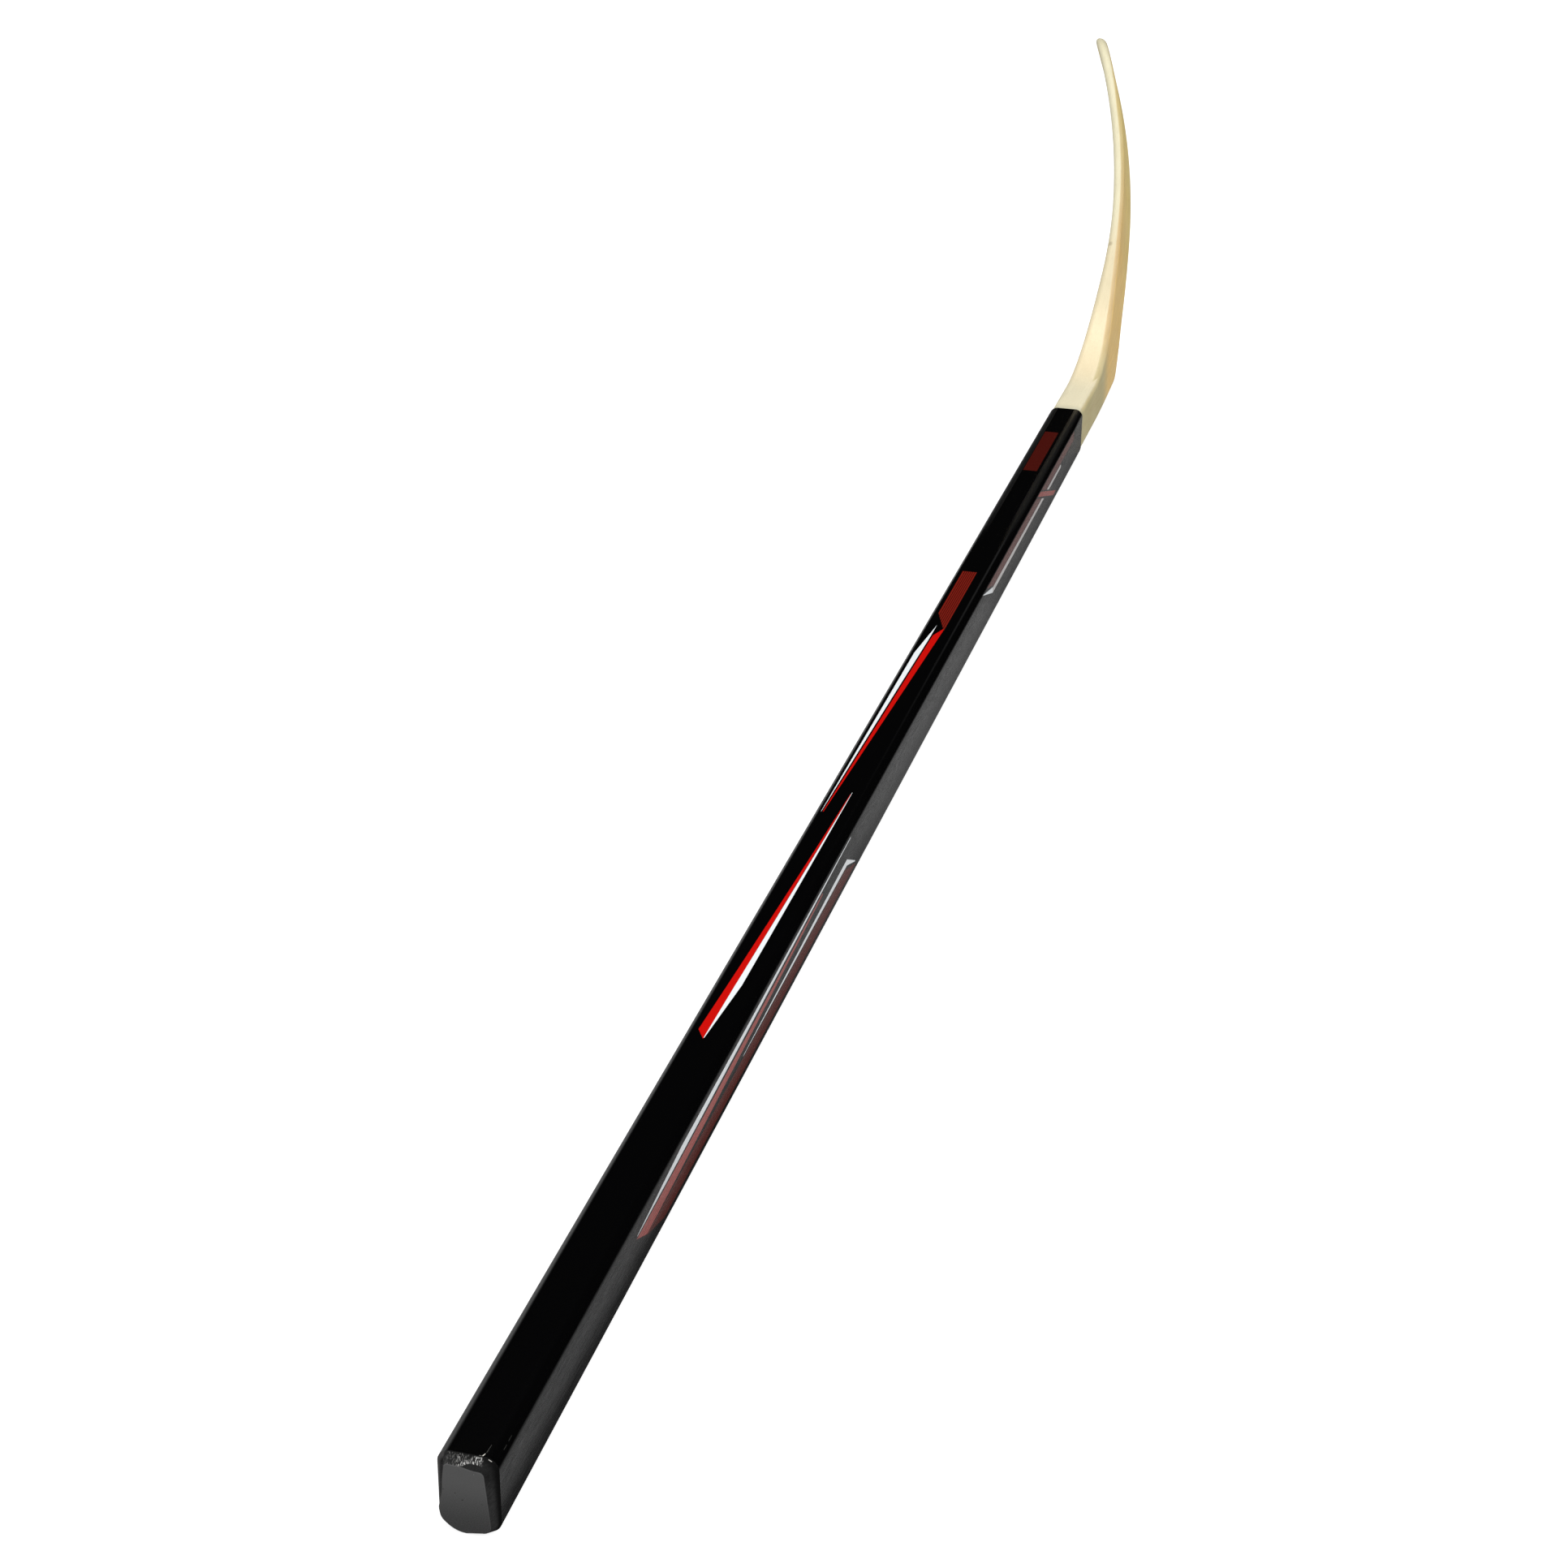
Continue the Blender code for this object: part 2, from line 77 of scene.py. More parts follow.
# %% Sizes
SHAFT_NARROW, SHAFT_WIDE, SHAFT_EDGE_RADIUS = 0.0210, 0.0300, 0.0048
FILM_END, WOOD_INSET = 1.0750, 0.0006
WOOD_HALF_WIDE = SHAFT_WIDE / 2 - WOOD_INSET
WOOD_HALF_THICK = SHAFT_NARROW / 2 - WOOD_INSET
WOOD_EDGE_RADIUS = SHAFT_EDGE_RADIUS - WOOD_INSET
TONGUE_JOINT, VENEER_JOINT, BLOCK_JOINT = 0.00395, 0.00875, 0.01455
HEEL_X, LIE_ANGLE = 1.2300, math.radians(45.0)
BLADE_LENGTH, BLADE_HEIGHT, TOE_HEIGHT, TOE_LENGTH = 0.2500, 0.0600, 0.0550, 0.0360
THROAT_RADIUS, HEEL_RADIUS = 0.1100, 0.0180
THROAT_THICKNESS, BLADE_THICKNESS, TOE_THICKNESS = 0.0134, 0.0070, 0.0074
TAPER_LENGTH, TAPER_POWER = 0.0800, 1.8
BLADE_EDGE_RADIUS, TOE_EDGE_RADIUS = 0.0031, 0.0035
CURVE_START, CURVE_DEPTH, CURVE_POWER, TOE_TWIST = 0.0500, 0.0395, 2.15, 0.0040
SKIN_THICKNESS = 0.0006

ALONG = np.array([math.cos(LIE_ANGLE), math.sin(LIE_ANGLE)])
ACROSS = np.array([-math.sin(LIE_ANGLE), math.cos(LIE_ANGLE)])
HEEL_CORNER = np.array([HEEL_X, -WOOD_HALF_WIDE])
THROAT_CORNER_U = (2 * WOOD_HALF_WIDE - BLADE_HEIGHT * ALONG[0]) / ALONG[1]
THROAT_TANGENT = THROAT_RADIUS * math.tan(LIE_ANGLE / 2)
THROAT_X = (HEEL_CORNER + THROAT_CORNER_U * ALONG + BLADE_HEIGHT * ACROSS)[0] - THROAT_TANGENT
THROAT_CENTRE = np.array([THROAT_X, WOOD_HALF_WIDE + THROAT_RADIUS])
HEEL_TANGENT = HEEL_RADIUS * math.tan(LIE_ANGLE / 2)
HEEL_CENTRE = HEEL_CORNER + np.array([-HEEL_TANGENT, HEEL_RADIUS])
BLADE_START_U = THROAT_CORNER_U + THROAT_TANGENT
print("throat starts at x = %.1f mm, blade at u = %.1f mm" % (THROAT_X / MM, BLADE_START_U / MM))

# %% [markdown]
# ## The outline of the wood
# All the bare wood shares one outline, which bends at the heel, thins out and curves sideways. It could
# be sculpted, but the boards inside it have to end on exactly the same surface, so it is worked out.
# A station is a straight cut across the stick, seen from the side: a low point, a high point, the
# directions in which the edge faces there, half the thickness and the radius of the long edges.
# The stations run square across the shaft, fan round the bend of the throat, run square across the
# blade, and at last follow the half ellipse of the toe. All of them are arrays, one row a station.

# %% Stations of the shaft and the throat
TINY = 1e-9


def stations(low, high, half, edge, low_out=None, high_out=None):
    """Bundles station arrays; without outward directions the edges face along the cut itself."""
    up = high - low
    up = up / np.maximum(np.linalg.norm(up, axis=1, keepdims=True), TINY)
    ones = np.ones(len(low))
    return {
        "low": low,
        "high": high,
        "half": half * ones,
        "edge": edge * ones,
        "low_out": -up if low_out is None else low_out,
        "high_out": up if high_out is None else high_out,
    }


def shaft_stations(x, reach=1.0):
    """Cuts square across the shaft at x, from minus to plus half its width times the reach."""
    rise = WOOD_HALF_WIDE * reach * np.ones(len(x))
    low, high = np.column_stack([x, -rise]), np.column_stack([x, rise])
    return stations(low, high, WOOD_HALF_THICK, WOOD_EDGE_RADIUS * reach)


def throat_stations(count):
    """Cuts along rays from the throat's centre, turned evenly from the shaft's square to the blade's.

    Each starts on the throat's circle and runs on to whichever the ray meets: the shaft's lower edge,
    the circle of the heel or the blade's bottom edge. The thickness falls with the square of the turn."""
    angle = np.linspace(0.0, LIE_ANGLE, count)
    ray = np.column_stack([np.sin(angle), -np.cos(angle)])
    heel_start = HEEL_CORNER + np.array([-HEEL_TANGENT, 0.0]) - THROAT_CENTRE
    heel_end = HEEL_CORNER + HEEL_TANGENT * ALONG - THROAT_CENTRE
    first, last = (math.atan2(place[0], -place[1]) for place in (heel_start, heel_end))
    to_shaft = (-WOOD_HALF_WIDE - THROAT_CENTRE[1]) / ray[:, 1]
    to_blade = (HEEL_CORNER - THROAT_CENTRE) @ ACROSS / (ray @ ACROSS)
    offset = THROAT_CENTRE - HEEL_CENTRE
    back = ray @ offset
    to_heel = -back + np.sqrt(np.maximum(back ** 2 - offset @ offset + HEEL_RADIUS ** 2, 0.0))
    reach = np.where(angle <= first, to_shaft, np.where(angle >= last, to_blade, to_heel))
    thick = WOOD_HALF_THICK + (THROAT_THICKNESS / 2 - WOOD_HALF_THICK) * (angle / LIE_ANGLE) ** 2
    low, high = THROAT_CENTRE + reach[:, None] * ray, THROAT_CENTRE + THROAT_RADIUS * ray
    return stations(low, high, thick, WOOD_EDGE_RADIUS)


BOARDS_START, THROAT_CUTS = 0.0040, 48
even_x, near_throat_x = np.linspace(0.02, 1.0, 12), np.linspace(1.03, THROAT_X, 14)[:-1]
shaft_run = shaft_stations(np.concatenate([[BOARDS_START], even_x, near_throat_x]))
bend = throat_stations(THROAT_CUTS)
print("stations: %d along the shaft, %d round the throat" % (len(shaft_run["half"]), len(bend["half"])))


# %% Stations of the blade and the toe
def blade_point(u, v):
    """(x, z) of points: the heel corner, plus u along the bottom edge, plus v square to that edge."""
    return HEEL_CORNER + u[:, None] * ALONG + v[:, None] * ACROSS


def blade_form(u):
    """Half thickness and edge radius at u: a power curve behind the throat, then a straight run."""
    beyond = u - BLADE_START_U - TAPER_LENGTH
    taper = np.minimum(1.0 + beyond / TAPER_LENGTH, 1.0)
    rest = np.maximum(beyond, 0.0) / (BLADE_LENGTH - BLADE_START_U - TAPER_LENGTH)
    thick = BLADE_THICKNESS + (TOE_THICKNESS - BLADE_THICKNESS) * rest
    thick = thick + (THROAT_THICKNESS - BLADE_THICKNESS) * (1.0 - taper) ** TAPER_POWER
    edge = BLADE_EDGE_RADIUS + (TOE_EDGE_RADIUS - BLADE_EDGE_RADIUS) * rest
    return thick / 2, edge + (WOOD_EDGE_RADIUS - BLADE_EDGE_RADIUS) * (1.0 - taper)


def blade_stations(u):
    """Cuts square across the blade, whose height falls evenly to the toe's."""
    share = (u - BLADE_START_U) / (BLADE_LENGTH - TOE_LENGTH - BLADE_START_U)
    height = BLADE_HEIGHT + (TOE_HEIGHT - BLADE_HEIGHT) * share
    return stations(blade_point(u, 0 * u), blade_point(u, height), *blade_form(u))


def toe_stations(count):
    """Cuts of the toe: half an ellipse, whose edge faces along the ellipse's own normal."""
    angle = np.linspace(0.0, math.pi / 2, count + 1)[1:]
    half = TOE_HEIGHT / 2
    u = BLADE_LENGTH - TOE_LENGTH + TOE_LENGTH * np.sin(angle)
    rise = half * np.cos(angle)
    lean, out = half * np.sin(angle)[:, None] * ALONG, TOE_LENGTH * np.cos(angle)[:, None] * ACROSS
    high_out, low_out = lean + out, lean - out
    length = np.linalg.norm(high_out, axis=1, keepdims=True)
    low, high = blade_point(u, half - rise), blade_point(u, half + rise)
    return stations(low, high, *blade_form(u), low_out / length, high_out / length)


def joined(*parts):
    """One set of stations from several in a row."""
    return {key: np.concatenate([part[key] for part in parts]) for key in parts[0]}


TAPER_CUTS, REST_CUTS, TOE_CUTS = 35, 39, 24
taper_u = BLADE_START_U + TAPER_LENGTH * np.linspace(0.0, 1.0, TAPER_CUTS + 1)[1:]
rest_u = np.linspace(taper_u[-1], BLADE_LENGTH - TOE_LENGTH, REST_CUTS + 1)[1:]
blade_run = blade_stations(np.concatenate([taper_u, rest_u]))
toe_run = toe_stations(TOE_CUTS)
print("stations: %d along the blade, %d round the toe" % (len(blade_run["half"]), len(toe_run["half"])))


# %% Middle surface
def middle_y(points):
    """Sideways curve of the middle surface at (x, z) points: a power of the way along the blade, plus
    a twist that grows with the square of that way and changes sign halfway up the blade."""
    offset = points - HEEL_CORNER
    u, v = offset @ ALONG, offset @ ACROSS
    curve = np.maximum(u - CURVE_START, 0.0) / (BLADE_LENGTH - CURVE_START)
    twist = np.maximum(u, 0.0) / BLADE_LENGTH
    return CURVE_DEPTH * curve ** CURVE_POWER + TOE_TWIST * twist ** 2 * (v / BLADE_HEIGHT - 0.5)


toe_tip = blade_point(np.array([BLADE_LENGTH]), np.array([TOE_HEIGHT / 2]))
print("the toe's tip stands %.1f mm to the forehand" % (middle_y(toe_tip)[0] / MM))

# %% [markdown]
# ## A board as a lofted section
# Each board of the laminate is a slice of the outline between two depths from the middle surface. It
# could be cut out of the whole stick with a Boolean, but a loft keeps clean rows of faces that shade
# softly. Its section has four sides: the outer face, the upper edge, the inner face and the lower edge.
# Where a side lies on the outside of the stick it follows the rounded edge, and where it is cut by a
# joint it is straight. Walking the rounded edge by arc length puts the points where the curve needs
# them, and two extra points close to each corner keep the shading exact up to the joint.

# %% Points round the section
EDGE_POINTS, FACE_POINTS, CORNER_STEP = 26, 9, 0.01
even_edge, even_face = (np.linspace(0.0, 1.0, count)[1:-1] for count in (EDGE_POINTS, FACE_POINTS))
edge_walk = np.concatenate([[0.0, CORNER_STEP], even_edge, [1.0 - CORNER_STEP, 1.0]])
face_walk = np.concatenate([[CORNER_STEP], even_face, [1.0 - CORNER_STEP]])


def rounding(parts, depth):
    """Angle of the rounded edge at a depth: its sine grows from 0 where the round starts to 1."""
    flat = parts["half"][:, None] - parts["edge"][:, None]
    return np.arcsin(np.clip((np.abs(depth) - flat) / parts["edge"][:, None], 0.0, 1.0))


def depths_between(parts, start, end):
    """Depths from start to end, spaced by arc length: the flat part counts as it is, and the round
    part counts as its radius times its angle."""
    flat, radius = (parts["half"] - parts["edge"])[:, None], parts["edge"][:, None]

    def walked(depth):
        """Way along the section from its middle to a depth."""
        return np.sign(depth) * (np.minimum(np.abs(depth), flat) + radius * rounding(parts, depth))

    place = walked(start[:, None]) + (walked(end[:, None]) - walked(start[:, None])) * edge_walk
    round_part = np.clip((np.abs(place) - flat) / radius, 0.0, math.pi / 2)
    return np.sign(place) * (np.minimum(np.abs(place), flat) + radius * np.sin(round_part))


def edge_point(parts, depth, end):
    """(x, z) of the outline at a depth: the station's end point, drawn in by the rounded edge's
    radius times one minus the cosine of its angle."""
    inset = parts["edge"][:, None] * (1.0 - np.cos(rounding(parts, depth)))
    return parts[end][:, None, :] - parts[end + "_out"][:, None, :] * inset[..., None]


print("points round a board's section:", 2 * (len(edge_walk) + len(face_walk)))

# %% Rings of a board
LEAST_ROOM, LEAST_THICKNESS = 2e-5, 4e-5


def picked(parts, keep):
    """The stations at which keep is true."""
    return {key: values[keep] for key, values in parts.items()}


def board_rings(parts, inner, outer, cut=None):
    """Points (station, ring, 3) and wide-face share of a board between two depths.

    cut is ("below", z) or ("above", z) for a board that ends at a level joint. Stations where less than
    a hair of the board is left are dropped, so that it feathers out. The wide-face share is the angle
    of the rounded edge as a share of a quarter turn, negative on the side of negative depths."""
    inner, outer = inner * np.ones(len(parts["half"])), outer * np.ones(len(parts["half"]))
    if cut:
        keep_side, level = cut
        if keep_side == "below":
            room = (level - parts["low"][:, 1]) / -parts["low_out"][:, 1]
        else:
            room = (parts["high"][:, 1] - level) / parts["high_out"][:, 1]
        keep = room > LEAST_ROOM
        parts, inner, outer, room = picked(parts, keep), inner[keep], outer[keep], room[keep]
        limit = np.arccos(np.clip(1.0 - room / parts["edge"], 0.0, 1.0))
        outer = np.minimum(outer, parts["half"] - parts["edge"] * (1.0 - np.sin(limit)))
    keep = outer - inner > LEAST_THICKNESS
    parts, inner, outer = picked(parts, keep), inner[keep], outer[keep]
    walk = depths_between(parts, outer, inner)
    face_out, face_in = (depth[:, None] * np.ones(len(face_walk)) for depth in (outer, inner))
    depth = np.concatenate([face_out, walk, face_in, walk[:, ::-1]], axis=1)
    low, high = edge_point(parts, depth, "low"), edge_point(parts, depth, "high")
    if cut:
        span = high[..., 1] - low[..., 1]
        share = (level - low[..., 1]) / np.where(np.abs(span) < TINY, TINY, span)
        middle = low + (high - low) * np.clip(share, 0.0, 1.0)[..., None]
        low, high = (low, middle) if keep_side == "below" else (middle, high)
    ones = np.ones(len(edge_walk))
    rise = np.concatenate([face_walk, ones, face_walk[::-1], 0 * ones])[None, :, None]
    flat_points = low + (high - low) * rise
    y = middle_y(flat_points) + depth
    points = np.stack([flat_points[..., 0], y, flat_points[..., 1]], axis=-1)
    return points, np.sign(depth) * rounding(parts, depth) / (math.pi / 2)


SIDES = {"forehand": 1, "backhand": -1}
# The forehand's higher power carries the pale edge tone further round, partly as a painted highlight on that
# rim.
FOREHAND_POWER = 10


def both_ways(points, turned, side):
    """A board for one side of the stick (1 forehand, -1 backhand), with its wide-face share.

    The backhand board is the forehand one mirrored in the middle surface. On the forehand the share is
    its own tenth power, so the pale edge tone reaches further round: partly the wood's own tone and
    partly a painted highlight on that rim."""
    if side < 0:
        points[..., 1] = 2 * middle_y(points[..., ::2]) - points[..., 1]
    turned = turned * side
    return points, {"wide_face": np.where(turned > 0, turned ** FOREHAND_POWER, -turned)}


print("thinnest edge that is kept: %.2f mm" % (LEAST_THICKNESS / MM))

# %% [markdown]
# ## From arrays to meshes
# A grid of points becomes a mesh with one face for every four neighbours. The grid closes on itself
# round the ring, the two ends get a cap, and points that fall together, such as those of the toe's tip,
# are merged. Blender can turn the faces outwards by itself, but a thin bent board can come out all
# inside out, so the sign of its volume decides. Faces are shaded softly except over sharp corners.


# %% Mesh helpers
def grid_faces(rows, columns, wrap_rows=False):
    """Corner numbers of the quads of a grid that closes round its columns, and its rows if asked."""
    row, column = np.meshgrid(np.arange(rows if wrap_rows else rows - 1), np.arange(columns), indexing="ij")
    following, side = (row + 1) % rows * columns, (column + 1) % columns
    row = row * columns
    quads = [row + column, row + side, following + side, following + column]
    return np.stack(quads, axis=-1).reshape(-1, 4)


MERGE_DISTANCE, SLIVER = 2e-6, 1e-6


def make_piece(name, points, values, caps=True, wrap_rows=False, sharp=32.0):
    """Mesh object from a grid of points, with one named value a point for its material."""
    rows, columns = points.shape[:2]
    faces = grid_faces(rows, columns, wrap_rows).tolist()
    if caps:
        faces += [list(range(columns)), list(range((rows - 1) * columns, rows * columns))]
    mesh = bpy.data.meshes.new(name)
    mesh.from_pydata(points.reshape(-1, 3), [], faces)
    for key, value in values.items():
        layer = mesh.attributes.new(key, "FLOAT", "POINT")
        layer.data.foreach_set("value", value.reshape(-1).astype(np.float32))
    work = bmesh.new()
    work.from_mesh(mesh)
    bmesh.ops.remove_doubles(work, verts=work.verts, dist=MERGE_DISTANCE)
    bmesh.ops.dissolve_degenerate(work, edges=work.edges, dist=SLIVER)
    bmesh.ops.recalc_face_normals(work, faces=work.faces)
    if work.calc_volume(signed=True) < 0.0:
        bmesh.ops.reverse_faces(work, faces=work.faces)
    open_edges = sum(not edge.is_manifold for edge in work.edges)
    work.to_mesh(mesh)
    work.free()
    mesh.polygons.foreach_set("use_smooth", [True] * len(mesh.polygons))
    mesh.set_sharp_from_angle(angle=math.radians(sharp))
    item = bpy.data.objects.new(name, mesh)
    bpy.context.scene.collection.objects.link(item)
    print("%-28s %6d points, %d open edges" % (name, len(mesh.vertices), open_edges))
    return item


def place(item, material, slot, *nodes):
    """Takes the material, rides on the one body and stands for its CAD nodes, which it hides. The slot is
    not used.
    """
    item.data.materials.append(material)
    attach(item, "root")
    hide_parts(*nodes)


print("a closed band of 3 rings with 4 points each has", len(grid_faces(3, 4)), "faces")

# %% [markdown]
# ## Node helpers
# Materials are written as small graphs of nodes. They could be clicked together in the shader editor,
# but written down they can be read, repeated and changed in one place. One helper adds a node and feeds
# its inputs, and the others are the few calculations that all the materials share.


# %% Node helpers
def node(tree, kind, inputs=None, **settings):
    """Adds a shader node; inputs maps a socket's name or number to a value or another node's output."""
    made = tree.nodes.new("ShaderNode" + kind)
    for key, value in settings.items():
        setattr(made, key, value)
    for key, value in (inputs or {}).items():
        if isinstance(value, bpy.types.NodeSocket):
            tree.links.new(value, made.inputs[key])
        else:
            made.inputs[key].default_value = value
    return made


def maths(tree, operation, *values, clamp=False):
    """One calculation on sockets or numbers."""
    return node(tree, "Math", dict(enumerate(values)), operation=operation, use_clamp=clamp).outputs[0]


def product(tree, *values):
    """Values multiplied with each other, such as masks that all have to hold."""
    result = values[0]
    for value in values[1:]:
        result = maths(tree, "MULTIPLY", result, value)
    return result


def ramp(tree, value, low, high, to_low=0.0, to_high=1.0):
    """Smooth step: to_low where the value is at low, to_high where it is at high, 3t^2 - 2t^3 between."""
    inputs = {"Value": value, "From Min": low, "From Max": high, "To Min": to_low, "To Max": to_high}
    return node(tree, "MapRange", inputs, interpolation_type="SMOOTHSTEP").outputs["Result"]


def within(tree, value, borders):
    """Mask of a span: up from the first border to the second, down from the third to the fourth."""
    rise, full, fall, gone = borders
    return product(tree, ramp(tree, value, rise, full), ramp(tree, value, gone, fall))


def mixed(tree, factor, first, second):
    """Mix of two colours: the first where the factor is 0 and the second where it is 1."""
    return node(tree, "Mix", {0: factor, 6: first, 7: second}, data_type="RGBA").outputs[2]


def tinted(tree, base, tone, *masks):
    """Base colour with a tone laid over it, as strongly as the product of the masks."""
    return mixed(tree, product(tree, *masks), base, tone)


def noise(tree, vector, scale, detail=2.0, roughness=0.5, distortion=0.0):
    """Fractal noise at a scale."""
    inputs = {"Vector": vector, "Scale": scale, "Detail": detail, "Roughness": roughness}
    return node(tree, "TexNoise", {**inputs, "Distortion": distortion}).outputs["Fac"]


def stretched(tree, vector, scale, rotation=(0.0, 0.0, 0.0)):
    """Vector scaled by its own amount along each axis, then turned."""
    inputs = {"Vector": vector, "Scale": scale, "Rotation": rotation}
    return node(tree, "Mapping", inputs).outputs["Vector"]


def parts_of(tree, vector):
    """The x, y and z of a vector."""
    return node(tree, "SeparateXYZ", {0: vector}).outputs[:3]


print("kinds of shader node to choose from:", sum(kind.startswith("ShaderNode") for kind in dir(bpy.types)))

# %% [markdown]
# ## Grain, streaks, dust
# Three effects are shared. Grain is what makes wood wood: fine fibres along the board, broad figure from
# the growth rings and short dark pores, all stretched along one direction. Streaks are the marks of
# sanding or brushing, long and very thin. Dust is a sparse scatter of specks. A photograph of wood would
# show its edge on a curved blade, while noise runs through the piece like real grain. Each effect is a
# node group that puts out plain values, so every material can use it at its own strength.


# %% Wood grain group
def new_group(name, inputs, outputs):
    """Empty node group: inputs are numbers or vectors with their default values, outputs are values."""
    tree = bpy.data.node_groups.new(name, "ShaderNodeTree")
    kinds = {float: "NodeSocketFloat", tuple: "NodeSocketVector"}
    for key, value in inputs.items():
        tree.interface.new_socket(key, in_out="INPUT", socket_type=kinds[type(value)]).default_value = value
    for key in outputs:
        tree.interface.new_socket(key, in_out="OUTPUT", socket_type="NodeSocketFloat")
    return tree, tree.nodes.new("NodeGroupInput").outputs, tree.nodes.new("NodeGroupOutput").inputs


def use_group(tree, group, inputs):
    """Places a group with its own values and returns its outputs."""
    return node(tree, "Group", inputs, node_tree=group).outputs


ORIGIN, UNCHANGED = (0.0, 0.0, 0.0), (1.0, 1.0, 1.0)
FIBRE_SCALE, FIGURE_SCALE, PORE_SCALE = (30.0, 1500.0, 1500.0), (2.2, 48.0, 48.0), (170.0, 3800.0, 3800.0)
RING_COUNT, MOTTLE_SCALE = 70.0, 42.0
tree, inputs, outputs = new_group("wood grain", {"Position": ORIGIN}, ["Fibre", "Figure", "Pores", "Mottle"])
grain_group, grain_at = tree, inputs["Position"]
fine = noise(tree, stretched(tree, grain_at, FIBRE_SCALE), 1.0, 4.0, 0.65)
broad = noise(tree, stretched(tree, grain_at, FIGURE_SCALE), 1.0, distortion=0.4)
rings = maths(tree, "SINE", maths(tree, "MULTIPLY", broad, RING_COUNT))
pore = noise(tree, stretched(tree, grain_at, PORE_SCALE), 1.0, 1.0)
tree.links.new(ramp(tree, fine, 0.25, 0.75), outputs["Fibre"])
tree.links.new(ramp(tree, rings, -1.0, 1.0), outputs["Figure"])
tree.links.new(ramp(tree, pore, 0.64, 0.72), outputs["Pores"])
tree.links.new(ramp(tree, noise(tree, grain_at, MOTTLE_SCALE, 3.0), 0.3, 0.7), outputs["Mottle"])
print("wood grain:", len(tree.nodes), "nodes")

# %% Streak and dust groups
streak_values = {"Position": ORIGIN, "Length": 60.0, "Fineness": 3000.0}
streak_group, inputs, outputs = new_group("streaks", streak_values, ["Fine"])
tree, fineness = streak_group, inputs["Fineness"]
size = node(tree, "CombineXYZ", {0: inputs["Length"], 1: fineness, 2: fineness}).outputs[0]
streak_at = node(tree, "VectorMath", {0: inputs["Position"], 1: size}, operation="MULTIPLY").outputs[0]
tree.links.new(ramp(tree, noise(tree, streak_at, 1.0, 3.0, 0.6), 0.3, 0.7), outputs["Fine"])

dust_values = {"Position": ORIGIN, "Density": 160.0, "Rarity": 0.985}
dust_group, inputs, outputs = new_group("dust", dust_values, ["Specks"])
tree = dust_group
cells = node(tree, "TexVoronoi", {"Vector": inputs["Position"], "Scale": inputs["Density"]}).outputs
lucky = node(tree, "SeparateColor", {0: cells["Color"]}).outputs[0]
chosen = maths(tree, "GREATER_THAN", lucky, inputs["Rarity"])
tree.links.new(product(tree, ramp(tree, cells["Distance"], 0.10, 0.04), chosen), outputs["Specks"])
print("groups:", [group.name for group in bpy.data.node_groups])

# %% [markdown]
# ## Sealed wood
# The bare wood shows two tones. The narrow edges were sanded through to cream wood, and the wide faces
# keep a tan, sealed skin, with a browner band along the edge that is painted shade of its turn. The
# change from one to the other follows the rounded edge. It could be painted as a mask, but each board
# already carries the share of that turn as an attribute, so the material mixes the two tones by it with
# a slightly uneven line, earlier on the blade and blocks than on the plies. The toe was sanded further
# round.
# Both tones also drift along the stick. The cheek of the hosel is greyish, orange at the heel and tan
# on the blade, and the edge is palest at the film and on the blade; its deeper cream where it turns up
# past the throat is painted shade. The wood is darkened in a thin line next to the film, painted shade
# of the film's edge, and one small knot shows on the blade's top edge. Grain runs along the
# board: along X in the shaft, along the blade in the blade.


# %% Tones of the wood
def colour(red, green, blue):
    """Linear colour of an sRGB triple from 0 to 255."""
    value = np.array([red, green, blue]) / 255.0
    value = np.where(value <= 0.04045, value / 12.92, ((value + 0.055) / 1.055) ** 2.4)
    return (*value.tolist(), 1.0)


CREAM, WARM_CREAM = colour(226, 218, 188), colour(231, 216, 180)
# The deeper cream, where the edge turns up past the throat, is painted shade.
THROAT_SHADE_CREAM, BLADE_CREAM = colour(211, 199, 165), colour(213, 207, 176)
TAN, ORANGE_TAN, GREY_TAN = colour(247, 221, 137), colour(243, 206, 131), colour(193, 182, 137)
# The edge-shade tones are painted shade: a browner band along the rounded edge, where the wide face turns
# away.
EDGE_SHADE_TAN, EDGE_SHADE_ORANGE, EDGE_SHADE_GREY = colour(184, 168, 120), colour(196, 169, 124), colour(203, 189, 142)
FIGURE_BROWN, FIBRE_BROWN = (0.45, 0.30, 0.14, 1.0), (0.42, 0.32, 0.17, 1.0)
PORE_BROWN, KNOT_BROWN = (0.22, 0.15, 0.07, 1.0), (0.33, 0.26, 0.15, 1.0)
# The greenish grey laid next to the film is painted shade of the film's edge.
PALE_MOTTLE, FILM_EDGE_SHADE = (0.95, 0.88, 0.66, 1.0), (0.30, 0.33, 0.25, 1.0)
EDGE_TONES = [(0.0, 0.0, CREAM), (1.11, 1.16, WARM_CREAM), (1.185, 1.220, THROAT_SHADE_CREAM),
              (1.230, 1.265, BLADE_CREAM)]
FACE_TONES = [(0.0, 0.0, GREY_TAN), (1.158, 1.196, ORANGE_TAN), (1.24, 1.32, TAN)]
EDGE_SHADE_TONES = [(0.0, 0.0, EDGE_SHADE_GREY), (1.158, 1.196, EDGE_SHADE_ORANGE), (1.24, 1.30, EDGE_SHADE_TAN)]


def drifting(tree, x, tones):
    """Tone that drifts along the stick: a list of (x where it starts to come, x where it is there, tone)."""
    result = tones[0][2]
    for start, end, tone in tones[1:]:
        result = mixed(tree, ramp(tree, x, start, end), result, tone)
    return result


tone_counts = [len(tones) for tones in (EDGE_TONES, FACE_TONES, EDGE_SHADE_TONES)]
print("tones along the edge, the face and the pooled seal:", tone_counts)

